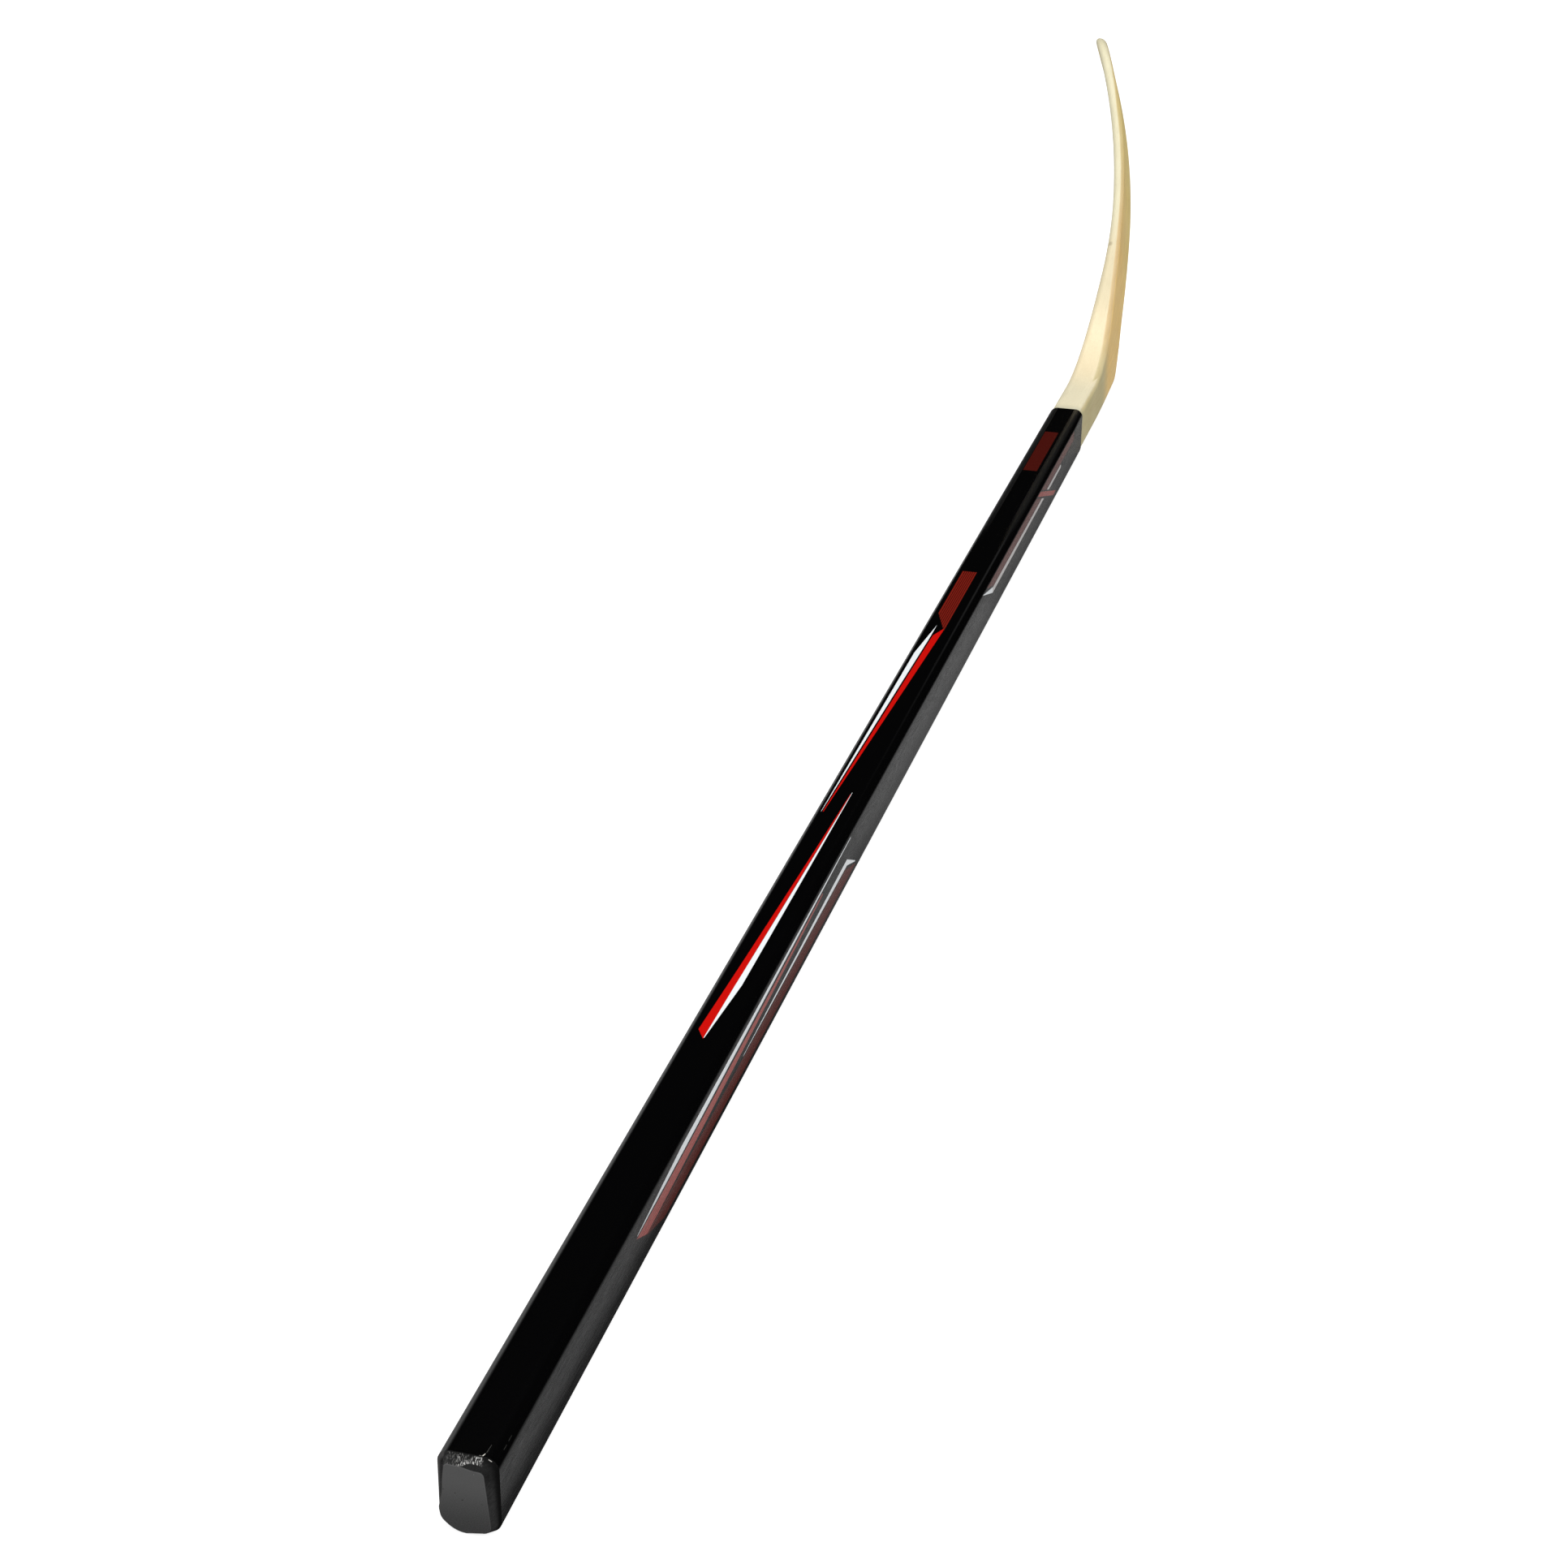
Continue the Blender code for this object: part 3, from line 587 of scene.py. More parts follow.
# %% Sealed wood material
TOE_SANDING_START, TOE_SANDING_END, TOE_SANDING = 1.315, 1.360, 0.55
FILM_EDGE_SHADE_RUN, FILM_EDGE_SHADE_STRENGTH = 0.011, 0.42
KNOT_PLACE, KNOT_RADIUS, KNOT_CORE, KNOT_STRENGTH = (1.2403, 0.0028, 0.0786), 0.0024, 0.0006, 0.55
WOBBLE, EDGE_FIGURE, FIBRE_ROUGHNESS = 0.10, 0.035, 0.16
EDGE_SHADE_OVERLAP, EDGE_SHADE_FADE, EDGE_SHADE_STRENGTH = 0.05, (0.60, 0.88), 0.85
GRAIN_LAYERS = [("Fibre", FIBRE_BROWN, 0.14), ("Pores", PORE_BROWN, 0.22), ("Mottle", PALE_MOTTLE, 0.10)]


def new_material(name, **values):
    """Material with a Principled shader whose even values are set on its own sockets."""
    material = bpy.data.materials.new(name)
    material.use_nodes = True
    shader = material.node_tree.nodes["Principled BSDF"]
    for key, value in values.items():
        shader.inputs[key.replace("_", " ")].default_value = value
    return material, material.node_tree, shader


def object_position(tree):
    """Position in metres on the piece, which doesn't move with the object."""
    return node(tree, "TexCoord").outputs["Object"]


def sealed_wood(name, border, blur=0.18, turn=0.0, figure=0.10, roughness=0.42):
    """Clear-sealed wood with its grain turned about Y.

    The face tone takes over from the edge tone where the wide-face share passes the border, and it is
    fully there at the border plus the blur. At the toe the share is (share - s) / (1 - s), where s is
    how far that edge was sanded round."""
    material, tree, shader = new_material(name, Specular_IOR_Level=0.3)
    position = object_position(tree)
    x = parts_of(tree, position)[0]
    grain_at = stretched(tree, position, UNCHANGED, (0.0, turn, 0.0))
    grain = use_group(tree, grain_group, {"Position": grain_at})
    share = node(tree, "Attribute", attribute_name="wide_face").outputs["Fac"]
    sanded = ramp(tree, x, TOE_SANDING_START, TOE_SANDING_END, 0.0, TOE_SANDING)
    left = maths(tree, "SUBTRACT", 1.0, sanded)
    share = maths(tree, "DIVIDE", maths(tree, "SUBTRACT", share, sanded), left)
    wobble = maths(tree, "MULTIPLY_ADD", noise(tree, grain_at, 55.0), WOBBLE, -WOBBLE / 2)
    face = ramp(tree, maths(tree, "ADD", share, wobble), border - blur, border + blur)
    base = mixed(tree, face, drifting(tree, x, EDGE_TONES), drifting(tree, x, FACE_TONES))
    # The browner band just past the border is painted shade of the rounded edge.
    painted_shade = within(tree, share, (border - blur, border + EDGE_SHADE_OVERLAP, *EDGE_SHADE_FADE))
    base = tinted(tree, base, drifting(tree, x, EDGE_SHADE_TONES), painted_shade, EDGE_SHADE_STRENGTH)
    figured = maths(tree, "MULTIPLY_ADD", face, figure, EDGE_FIGURE)
    base = tinted(tree, base, FIGURE_BROWN, grain["Figure"], figured)
    for effect, tone, strength in GRAIN_LAYERS:
        base = tinted(tree, base, tone, grain[effect], strength)
    from_knot = node(tree, "VectorMath", {0: position, 1: KNOT_PLACE}, operation="DISTANCE").outputs["Value"]
    knot = ramp(tree, from_knot, KNOT_RADIUS, KNOT_CORE, 0.0, KNOT_STRENGTH)
    base = tinted(tree, base, KNOT_BROWN, knot)
    # Painted shade: the wood darkens towards the film's edge.
    shade_by_film = ramp(tree, x, FILM_END + FILM_EDGE_SHADE_RUN, FILM_END - MM, 0.0, FILM_EDGE_SHADE_STRENGTH)
    base = tinted(tree, base, FILM_EDGE_SHADE, shade_by_film)
    tree.links.new(base, shader.inputs["Base Color"])
    even = roughness - FIBRE_ROUGHNESS / 2
    rough = maths(tree, "MULTIPLY_ADD", grain["Fibre"], FIBRE_ROUGHNESS, even)
    tree.links.new(rough, shader.inputs["Roughness"])
    bump = node(tree, "Bump", {"Height": grain["Fibre"], "Strength": 0.25, "Distance": 0.00008})
    tree.links.new(bump.outputs[0], shader.inputs["Normal"])
    return material


block_wood = sealed_wood("sealed_block_wood", border=0.19, blur=0.20, turn=math.radians(20.0))
core_wood = sealed_wood("sealed_core_wood", border=0.54)
veneer_wood = sealed_wood("sealed_veneer", border=0.58)
blade_wood = sealed_wood("sealed_blade_wood", border=0.30, turn=LIE_ANGLE)
print("sealed woods:", [wood.name for wood in (block_wood, core_wood, veneer_wood, blade_wood)])

# %% [markdown]
# ## Face and core plies
# The two face plies are thin veneers and the core plies lie under them. Both run the whole length of
# the shaft, bend into the heel and are shaped away there, so the same loft makes all four, and each
# runs out to a feather edge where the outline gets thinner than its depth. They are cut level where
# the heel blocks are glued on.

# %% Plies of the shaft
shaft_and_heel = joined(shaft_run, bend, blade_run)
for name, side in SIDES.items():
    for board, inner, outer, material, slot in (
            ("core_ply", TONGUE_JOINT, VENEER_JOINT, core_wood, "core_ply_wood"),
            ("face_ply", VENEER_JOINT, WOOD_HALF_THICK, veneer_wood, "face_ply_wood")):
        limit = np.minimum(shaft_and_heel["half"], outer)
        points, turned = board_rings(shaft_and_heel, inner, limit, ("below", BLOCK_JOINT))
        item = make_piece("%s_%s" % (board, name), *both_ways(points, turned, side))
        place(item, material, slot, "shaft_%s_%s" % (board, name))

# %% [markdown]
# ## Heel blocks
# Two blocks glued on above the shaft's plies fill the throat and feather out on the blade. They start
# as a thin edge where the throat begins to rise, and they end where the blade is as thin as its tongue.
# They are lofted like the plies, but above the level joint, so both sides of the joint match.

# %% Heel blocks
throat_and_blade = joined(bend, blade_run)
for name, side in SIDES.items():
    outer = throat_and_blade["half"]
    points, turned = board_rings(throat_and_blade, TONGUE_JOINT, outer, ("above", BLOCK_JOINT))
    item = make_piece("throat_block_" + name, *both_ways(points, turned, side))
    place(item, block_wood, "block_wood", "heel_block_" + name)

# %% [markdown]
# ## Blade
# The blade's wood runs from a pointed tongue inside the shaft to the toe. Its faces carry skins of glass
# cloth in resin, so along most of the blade only its edge shows. It is one loft over all the stations,
# because on the real blade the tongue, the bend and the toe are one board too. The lengths of the
# tongue, its shoulder and the hidden hosel are measured back from the film's end.

# %% Blade wood
TONGUE_LENGTH, SHOULDER, HIDDEN_HOSEL, TONGUE_BLUNT = 0.0380, 0.0130, 0.0080, 0.0005
tip_x = FILM_END - TONGUE_LENGTH
tongue_x = np.linspace(tip_x, FILM_END - SHOULDER, 4)
tongue_reach = (tongue_x - tip_x + TONGUE_BLUNT) / (TONGUE_LENGTH + TONGUE_BLUNT - SHOULDER)
tongue = shaft_stations(tongue_x, tongue_reach)
hosel_run = shaft_stations(np.linspace(FILM_END - HIDDEN_HOSEL, THROAT_X, 12)[:-1])
whole_blade = joined(tongue, hosel_run, bend, blade_run, toe_run)
core_depth = np.minimum(whole_blade["half"] - SKIN_THICKNESS, TONGUE_JOINT)
points, turned = board_rings(whole_blade, -core_depth, core_depth)
item = make_piece("blade_wood", *both_ways(points, turned, 1))
place(item, blade_wood, "blade_wood", "blade_core")

# %% [markdown]
# ## Skins of the blade
# Each skin is a cloth of glass fibre laid in clear resin over the wood. It tints the wood tan, its
# weave can just be felt, and its outer corner is rounded with the edge. It starts under the feathered
# end of the heel block. A woven mesh would be far too heavy, so the weave is the product of two sine
# waves that cross at right angles, one along each thread, in colour and in relief.

# %% Blade skins
THREAD_TONE = (0.80, 0.66, 0.38, 1.0)
weave_group, inputs, outputs = new_group("cloth weave", {"Position": ORIGIN, "Threads": 900.0}, ["Height"])
tree = weave_group
x, z = parts_of(tree, inputs["Position"])[::2]
warp, weft = (maths(tree, "SINE", maths(tree, "MULTIPLY", maths(tree, sign, x, z), inputs["Threads"]))
              for sign in ("ADD", "SUBTRACT"))
tree.links.new(maths(tree, "MULTIPLY_ADD", product(tree, warp, weft), 0.5, 0.5), outputs["Height"])


def skin_material():
    """Tan resin over cloth: the sealed wood's tones with a faint weave in colour and relief."""
    material = sealed_wood("resin_skin", border=0.30, turn=LIE_ANGLE, figure=0.16, roughness=0.34)
    tree = material.node_tree
    shader = tree.nodes["Principled BSDF"]
    weave = use_group(tree, weave_group, {"Position": object_position(tree)})["Height"]
    tone = shader.inputs["Base Color"].links[0].from_socket
    tree.links.new(tinted(tree, tone, THREAD_TONE, weave, 0.10), shader.inputs["Base Color"])
    bump = shader.inputs["Normal"].links[0].from_node
    height = maths(tree, "MULTIPLY_ADD", weave, 0.6, bump.inputs["Height"].links[0].from_socket)
    tree.links.new(height, bump.inputs["Height"])
    return material


resin_skin = skin_material()
skin_run = joined(blade_run, toe_run)
for name, side in SIDES.items():
    outer = np.minimum(skin_run["half"], TONGUE_JOINT)
    points, turned = board_rings(skin_run, skin_run["half"] - SKIN_THICKNESS, outer)
    item = make_piece("resin_skin_" + name, *both_ways(points, turned, side))
    place(item, resin_skin, "blade_skin_resin", "blade_skin_" + name)

# %% [markdown]
# ## Film
# The shaft is wrapped in one sheet of printed film. Its section is a rounded rectangle: four quarter
# circles joined by straight runs. A profile carried along the shaft gives it a wall, sanded off sharp at
# the butt and with a rounded lip at the lower end. A Solidify modifier could make the wall too, but it
# would leave both ends square.
# The print follows the wrap, so each point also carries how far round the shaft it lies from the middle
# of the top face.

# %% Section of the film
CORNER_STEPS, RUN_STEPS = 14, 7
QUARTERS = np.array([(1, 1), (-1, 1), (-1, -1), (1, -1)])


def rounded_rings(centres, radii):
    """Rings of four quarter circles about the centres, joined by straight runs: (ring, point, y and z)."""
    turn = np.linspace(0.0, math.pi / 2, CORNER_STEPS + 1)
    arcs = []
    for quarter in range(4):
        angle = math.pi / 2 * quarter + turn
        arc = np.stack([np.cos(angle), np.sin(angle)], axis=-1)
        arcs.append(centres[:, quarter, None, :] + radii[:, quarter, None, None] * arc)
    walk = np.linspace(0.0, 1.0, RUN_STEPS + 2)[1:-1, None]
    rows = []
    for quarter in range(4):
        start, end = arcs[quarter][:, -1:], arcs[(quarter + 1) % 4][:, :1]
        rows += [arcs[quarter], start + (end - start) * walk]
    return np.concatenate(rows, axis=1)


def shaft_rings(inset):
    """Rings of the film at an inset from its outside, about centres that stay where they are."""
    centres = QUARTERS * (SHAFT_NARROW / 2 - SHAFT_EDGE_RADIUS, SHAFT_WIDE / 2 - SHAFT_EDGE_RADIUS)
    radii = (SHAFT_EDGE_RADIUS - inset)[:, None] * np.ones(4)
    return rounded_rings(np.tile(centres, (len(inset), 1, 1)), radii)


def round_the_shaft(rings):
    """Distance round each ring from the middle of its top run, growing down both sides."""
    step = np.linalg.norm(np.roll(rings, -1, axis=1) - rings, axis=2)
    travelled = np.cumsum(step, axis=1) - step
    top = CORNER_STEPS + 1 + RUN_STEPS // 2
    travelled = travelled - travelled[:, top:top + 1]
    length = step.sum(axis=1, keepdims=True)
    return np.abs((travelled + length / 2) % length - length / 2)


print("points round the film:", 4 * (CORNER_STEPS + 1 + RUN_STEPS))

# %% Film sleeve
SANDED = MM * np.array([3.1, 3.1, 3.3, 2.6])
SANDED_FADE, SHARP_EDGE = 0.005, 0.00005
LIP_RADIUS, FILM_THICKNESS = 0.0003, 0.00058


def sanded_run(rings):
    """Length of the sanded part at (y, z), between its lengths a to d at the four corners:
    (1-u)(1-v) c + u(1-v) d + (1-u) v b + u v a, where u and v go from 0 to 1 across the section."""
    u, v = rings[..., 0] / SHAFT_NARROW + 0.5, rings[..., 1] / SHAFT_WIDE + 0.5
    high, low = SANDED[0] * u + SANDED[1] * (1 - u), SANDED[3] * u + SANDED[2] * (1 - u)
    return high * v + low * (1 - v)


# The wall is a hair thinner than the wood's inset, so that it clears the wood.
lip = np.array([0.0, 0.3, 0.6, 0.8, 0.93, 1.0])
lip_inset, lip_run = LIP_RADIUS * (1.0 - np.sqrt(1.0 - lip ** 2)), LIP_RADIUS * lip
lip_start = FILM_END - LIP_RADIUS
body_x = np.concatenate([[0.0, SHARP_EDGE], np.linspace(0.01, lip_start, 40)[:-1]])
profile_x = np.concatenate([body_x, lip_start + lip_run, [FILM_END, 0.0]])
profile_inset = np.concatenate([0.0 * body_x, lip_inset, [FILM_THICKNESS, FILM_THICKNESS]])
rings = shaft_rings(profile_inset)
start = np.clip(1.0 - profile_x / SANDED_FADE, 0.0, 1.0)[:, None] * sanded_run(rings)
points = np.concatenate([(profile_x[:, None] + start)[..., None], rings], axis=-1)
values = {"round": round_the_shaft(rings)}
film = make_piece("film", points, values, caps=False, wrap_rows=True, sharp=40.0)

# %% [markdown]
# ## Print on the film
# The print is plain black with long tapering stripes in red and white, a block of pinstripes and solid
# bars. An image would blur when seen from close by, so the bands are drawn by arithmetic. One group
# draws any of them: it runs from a start to an end along the shaft, between a lower and an upper edge
# that may be straight or bowed, and each end may be cut at a slant. The print's edges are a tenth of
# a millimetre soft, as on a real film.

# %% Tapered band group
EDGE_SOFT, END_SOFT = 0.12, 0.4
BAND_SIZES = ["Start", "End", "Low start", "Low end", "High start", "High end", "Low bow", "High bow",
              "Start slant", "End slant"]
band_inputs = {name: 0.0 for name in ["Along", "Across", *BAND_SIZES]}
band_group, band_in, outputs = new_group("tapered band", band_inputs, ["Mask"])
tree, along, across = band_group, band_in["Along"], band_in["Across"]
span = maths(tree, "SUBTRACT", band_in["End"], band_in["Start"])
gone = maths(tree, "SUBTRACT", along, band_in["Start"])
t = maths(tree, "DIVIDE", gone, span, clamp=True)
hump = product(tree, maths(tree, "MULTIPLY", t, 4.0), maths(tree, "SUBTRACT", 1.0, t))


def band_edge(side):
    """Edge of the band at t: a straight run from start to end plus its bow times 4 t (1 - t)."""
    rise = maths(band_group, "SUBTRACT", band_in[side + " end"], band_in[side + " start"])
    straight = maths(band_group, "MULTIPLY_ADD", rise, t, band_in[side + " start"])
    return maths(band_group, "MULTIPLY_ADD", hump, band_in[side + " bow"], straight)


def slant(end):
    """Shift of a cut at this end: its slant times the distance from the middle of the band there."""
    total = maths(band_group, "ADD", band_in["Low " + end], band_in["High " + end])
    from_middle = maths(band_group, "MULTIPLY_ADD", total, -0.5, band_in["Across"])
    return maths(band_group, "MULTIPLY", from_middle, band_in[end.title() + " slant"])


above_low = ramp(tree, maths(tree, "SUBTRACT", across, band_edge("Low")), -EDGE_SOFT, EDGE_SOFT)
below_high = ramp(tree, maths(tree, "SUBTRACT", band_edge("High"), across), -EDGE_SOFT, EDGE_SOFT)
past_start = ramp(tree, maths(tree, "ADD", gone, slant("start")), 0.0, END_SOFT)
to_go = maths(tree, "SUBTRACT", maths(tree, "SUBTRACT", span, gone), slant("end"))
before_end = ramp(tree, to_go, 0.0, END_SOFT)
tree.links.new(product(tree, above_low, below_high, past_start, before_end), outputs["Mask"])


def print_bands(tree, base, along, across, bands):
    """Lays bands over a base colour, one after another."""
    for tone, *sizes in bands:
        values = {"Along": along, "Across": across, **dict(zip(BAND_SIZES, sizes))}
        base = tinted(tree, base, tone, use_group(tree, band_group, values)["Mask"])
    return base


print("tapered band:", len(tree.nodes), "nodes")

# %% [markdown]
# The bands are listed in millimetres: start and end along the shaft, lower edge at start and end, upper
# edge at start and end, the two bows, and the slants of the two ends. On the top face "across" is the
# distance left of its middle, and on the two wide faces it is the height.

# %% Layout of the print
RED, WHITE = (0.54, 0.005, 0.003, 1.0), (0.80, 0.83, 0.85, 1.0)
BRICK, DARK_RED = (0.33, 0.075, 0.065, 1.0), (0.085, 0.010, 0.006, 1.0)
DEEP_RED, PIN_RED = (0.062, 0.006, 0.004, 1.0), (0.17, 0.011, 0.006, 1.0)
DULL_RED, GREY, BLACK = (0.115, 0.036, 0.030, 1.0), (0.56, 0.54, 0.53, 1.0), (0.0009, 0.0009, 0.0010, 1.0)
TOP_BANDS = [
    (RED, 269.6, 495.0, 0.95, -2.45, 4.90, -2.20, -0.05, -0.35, -1.76, 0.0),
    (WHITE, 267.0, 311.0, 0.70, -2.30, 0.95, 0.35, 0.0, 0.0, 0.0, 0.0),
    (WHITE, 310.3, 497.0, -2.30, -2.70, 0.35, -2.55, -0.05, -0.20, 0.0, 0.0),
    (WHITE, 474.0, 684.7, 6.40, 2.80, 6.55, 6.10, 0.10, 0.0, 0.0, 11.5),
    (RED, 474.0, 695.5, 5.40, -2.00, 5.75, 1.75, 0.0, 0.0, 0.0, 2.9),
    (PIN_RED, 708.5, 783.0, -2.30, -2.30, 5.60, 5.60, 0.0, 0.0, -2.9, 0.0),
    (DEEP_RED, 953.5, 1027.0, -3.50, -3.50, 4.90, 4.90, 0.0, 0.0, 0.0, 0.0),
]
PIN_START, PIN_END, FIRST_PIN, PIN_SPACING, PIN_WIDTH, PIN_COUNT = 698.0, 784.0, -1.33, 1.11, 0.26, 6
for low in FIRST_PIN + PIN_SPACING * np.arange(PIN_COUNT):
    high = low + PIN_WIDTH
    TOP_BANDS.append((BLACK, PIN_START, PIN_END, low, low, high, high, 0.0, 0.0, 0.0, 0.0))
SIDE_BANDS = [
    (WHITE, 145.0, 200.0, 4.20, 4.80, 4.40, 8.40, 0.0, 0.0, 0.0, 0.0),
    (WHITE, 199.3, 463.0, 4.80, 9.30, 8.40, 9.80, 0.0, 0.0, 0.0, 0.0),
    (BRICK, 150.5, 412.0, -2.50, 6.10, 3.50, 7.10, -0.60, -0.65, 2.1, 0.0),
    (DARK_RED, 166.5, 464.0, -8.90, -8.90, -2.50, -2.50, 0.0, 0.0, 3.4, 3.1),
    (WHITE, 284.0, 457.0, -1.75, -1.60, -1.50, 1.50, 0.0, 0.0, 0.0, 0.0),
    (WHITE, 456.5, 472.0, -1.70, -7.30, 1.40, -6.80, 0.0, 0.0, 0.0, 0.0),
    (DULL_RED, 781.0, 1045.0, 5.00, 5.00, 10.80, 10.80, 0.0, 0.0, 3.4, 0.0),
    (WHITE, 761.0, 789.0, 10.70, 1.50, 11.00, 4.90, 0.0, 0.0, 0.0, 0.0),
    (GREY, 788.0, 1000.0, 1.70, 2.20, 4.90, 4.40, 0.0, 0.0, 0.0, 0.0),
    (BLACK, 945.0, 961.0, -7.50, -7.50, 10.60, 10.60, 0.0, 0.0, 3.0, 3.0),
    (BRICK, 948.5, 958.0, -7.50, -7.50, 10.60, 10.60, 0.0, 0.0, 3.0, 3.0),
]
BARE_WOOD, DIM_SCRATCH = (0.72, 0.70, 0.64, 1.0), (0.045, 0.045, 0.042, 1.0)
NICKS = [
    (BARE_WOOD, 3.1, 4.8, -5.10, -5.55, -4.70, -5.40, 0.0, 0.0, 0.0, 0.0),
    (BARE_WOOD, 3.1, 3.5, -4.70, -4.50, -3.60, -4.00, 0.0, 0.0, 0.0, 0.0),
    (DIM_SCRATCH, 5.0, 9.4, -5.75, -5.90, -5.50, -5.76, 0.0, 0.0, 0.0, 0.0),
    (DIM_SCRATCH, 9.9, 13.0, -10.12, -10.20, -9.98, -10.10, 0.0, 0.0, 0.0, 0.0),
    (DIM_SCRATCH, 14.4, 17.8, -10.10, -10.10, -9.96, -10.02, 0.0, 0.0, 0.0, 0.0),
]
print("bands on the top face: %d, on each wide face: %d" % (len(TOP_BANDS), len(SIDE_BANDS)))

# %% [markdown]
# The film is a clear gloss over the print. It was drawn over lightly sanded wood, so fine grain
# runs through its gloss along the wide faces, near the butt they are brushed grey as well, and a few
# specks of dust lie on it. Near the butt its corner is nicked, and the pale wood shows through. Towards
# its lower end the rounding between top and side is rubbed duller. A material for each face would
# show a seam at every corner, so one does it all, with masks that read the distance round the shaft.


# %% Film material
def grey(value):
    """Neutral colour of one brightness."""
    return (value, value, value, 1.0)


TOP_EDGE, SIDE_EDGE, PRINT_SOFT = 10.0, 37.0, 0.2
BRUSHED_GREY, DUST = grey(0.040), (0.55, 0.55, 0.53, 1.0)
WIDE_FACE, RUBBED_ROUNDING = (11.0, 15.0, 33.5, 37.5), (4.8, 5.6, 8.5, 11.0)
BRUSHED_FROM, BRUSHED_TO, BRUSHED_STRENGTH, DUST_STRENGTH = 0.24, 0.13, 0.45, 0.65
RUBBED_FROM, RUBBED_TO = 0.80, 0.90
CLEAR_ROUGHNESS, STREAK_ROUGHNESS, RUBBED_ROUGHNESS = 0.13, 0.16, 0.28
SIDE_RELIEF, TOP_RELIEF, WAVE_RELIEF = 0.8, 0.05, 0.5
film_material, tree, shader = new_material("printed_film", Specular_IOR_Level=0.5)
position = object_position(tree)
x, y, z = parts_of(tree, position)
x_mm, z_mm = (maths(tree, "MULTIPLY", value, 1.0 / MM) for value in (x, z))
around = maths(tree, "MULTIPLY", node(tree, "Attribute", attribute_name="round").outputs["Fac"], 1.0 / MM)
left_of_middle = maths(tree, "MULTIPLY", around, maths(tree, "SIGN", y))
on_top = ramp(tree, around, TOP_EDGE + PRINT_SOFT, TOP_EDGE - PRINT_SOFT)
side_borders = [edge + soft for edge in (TOP_EDGE, SIDE_EDGE) for soft in (-PRINT_SOFT, PRINT_SOFT)]
on_side = within(tree, around, side_borders)
top_print = print_bands(tree, BLACK, x_mm, left_of_middle, TOP_BANDS)
side_print = print_bands(tree, BLACK, x_mm, z_mm, SIDE_BANDS)
base = mixed(tree, on_side, mixed(tree, on_top, BLACK, top_print), side_print)

streaks = use_group(tree, streak_group, {"Position": position, "Length": 150.0, "Fineness": 2600.0})["Fine"]
brushed = use_group(tree, streak_group, {"Position": position, "Length": 60.0, "Fineness": 2600.0})["Fine"]
grained = within(tree, around, WIDE_FACE)
near_butt = ramp(tree, x, BRUSHED_FROM, BRUSHED_TO)
base = tinted(tree, base, BRUSHED_GREY, brushed, grained, near_butt, BRUSHED_STRENGTH)
dust = use_group(tree, dust_group, {"Position": position, "Density": 170.0, "Rarity": 0.988})["Specks"]
base = tinted(tree, base, DUST, dust, DUST_STRENGTH)
base = print_bands(tree, base, x_mm, left_of_middle, NICKS)
tree.links.new(base, shader.inputs["Base Color"])

rough = maths(tree, "MULTIPLY_ADD", product(tree, streaks, grained), STREAK_ROUGHNESS, CLEAR_ROUGHNESS)
rubbed = product(tree, ramp(tree, x, RUBBED_FROM, RUBBED_TO), within(tree, around, RUBBED_ROUNDING))
rough = maths(tree, "MULTIPLY_ADD", rubbed, RUBBED_ROUGHNESS, rough)
tree.links.new(rough, shader.inputs["Roughness"])
waves = maths(tree, "MULTIPLY", noise(tree, position, 90.0), WAVE_RELIEF)
streak_relief = maths(tree, "MULTIPLY_ADD", grained, SIDE_RELIEF, TOP_RELIEF)
relief = maths(tree, "MULTIPLY_ADD", streaks, streak_relief, waves)
bump = node(tree, "Bump", {"Height": relief, "Strength": 0.35, "Distance": 0.00006})
tree.links.new(bump.outputs[0], shader.inputs["Normal"])
place(film, film_material, "film_black", "shaft_film")
print("printed film:", len(tree.nodes), "nodes")

# %% [markdown]
# ## Painted butt
# The butt was cut square, its edges were broken with a sander, more at the top and right than at the
# bottom, and all of it was brushed with black paint. It is one thin closed cup: a flat end face, the
# sanded bevel round it and the inner wall behind both. A Bevel modifier would make the edge even, while
# a sander by hand doesn't, so the bevel is lofted from an end face whose corners each have a place and
# a radius of their own.

# %% Painted butt
FACE_CORNERS = MM * np.array([(7.2, 11.8), (-6.1, 10.7), (-7.8, -13.6), (9.62, -14.7)])
FACE_RADII = MM * np.array([1.3, 1.8, 2.8, 9.1])
SHAFT_CORNERS = 0.5 * QUARTERS * (SHAFT_NARROW, SHAFT_WIDE)
FACE_MIDDLE, COAT_THICKNESS = np.array([0.0008, -0.0020]), 0.0003


def bevel_rings(share, shrink=0.0):
    """Rings of the bevel from the end face (share 0) to the film (share 1), drawn in by shrink.

    The end face's edge wavers by hand: z + 0.3 e^-((y-1.8)/1.6)^2 - 0.2 e^-((y+2.6)/1.4)^2 along the
    top and y - 0.5 e^-(z/4)^2 along the left, in mm, fading as (1 - share)^2."""
    part = share[:, None, None]
    corners = FACE_CORNERS + (SHAFT_CORNERS - FACE_CORNERS) * part - QUARTERS * shrink
    radii = FACE_RADII + (SHAFT_EDGE_RADIUS - FACE_RADII) * part[..., 0]
    rings = rounded_rings(corners - QUARTERS * radii[..., None], radii)
    y, z, fade = rings[..., 0] / MM, rings[..., 1] / MM, MM * (1.0 - part[..., 0]) ** 2
    wave = 0.3 * np.exp(-((y - 1.8) / 1.6) ** 2) - 0.2 * np.exp(-((y + 2.6) / 1.4) ** 2)
    rings[..., 1] += wave * fade * (z > 10.0)
    rings[..., 0] -= 0.5 * np.exp(-(z / 4.0) ** 2) * fade * (y > 7.0)
    return rings


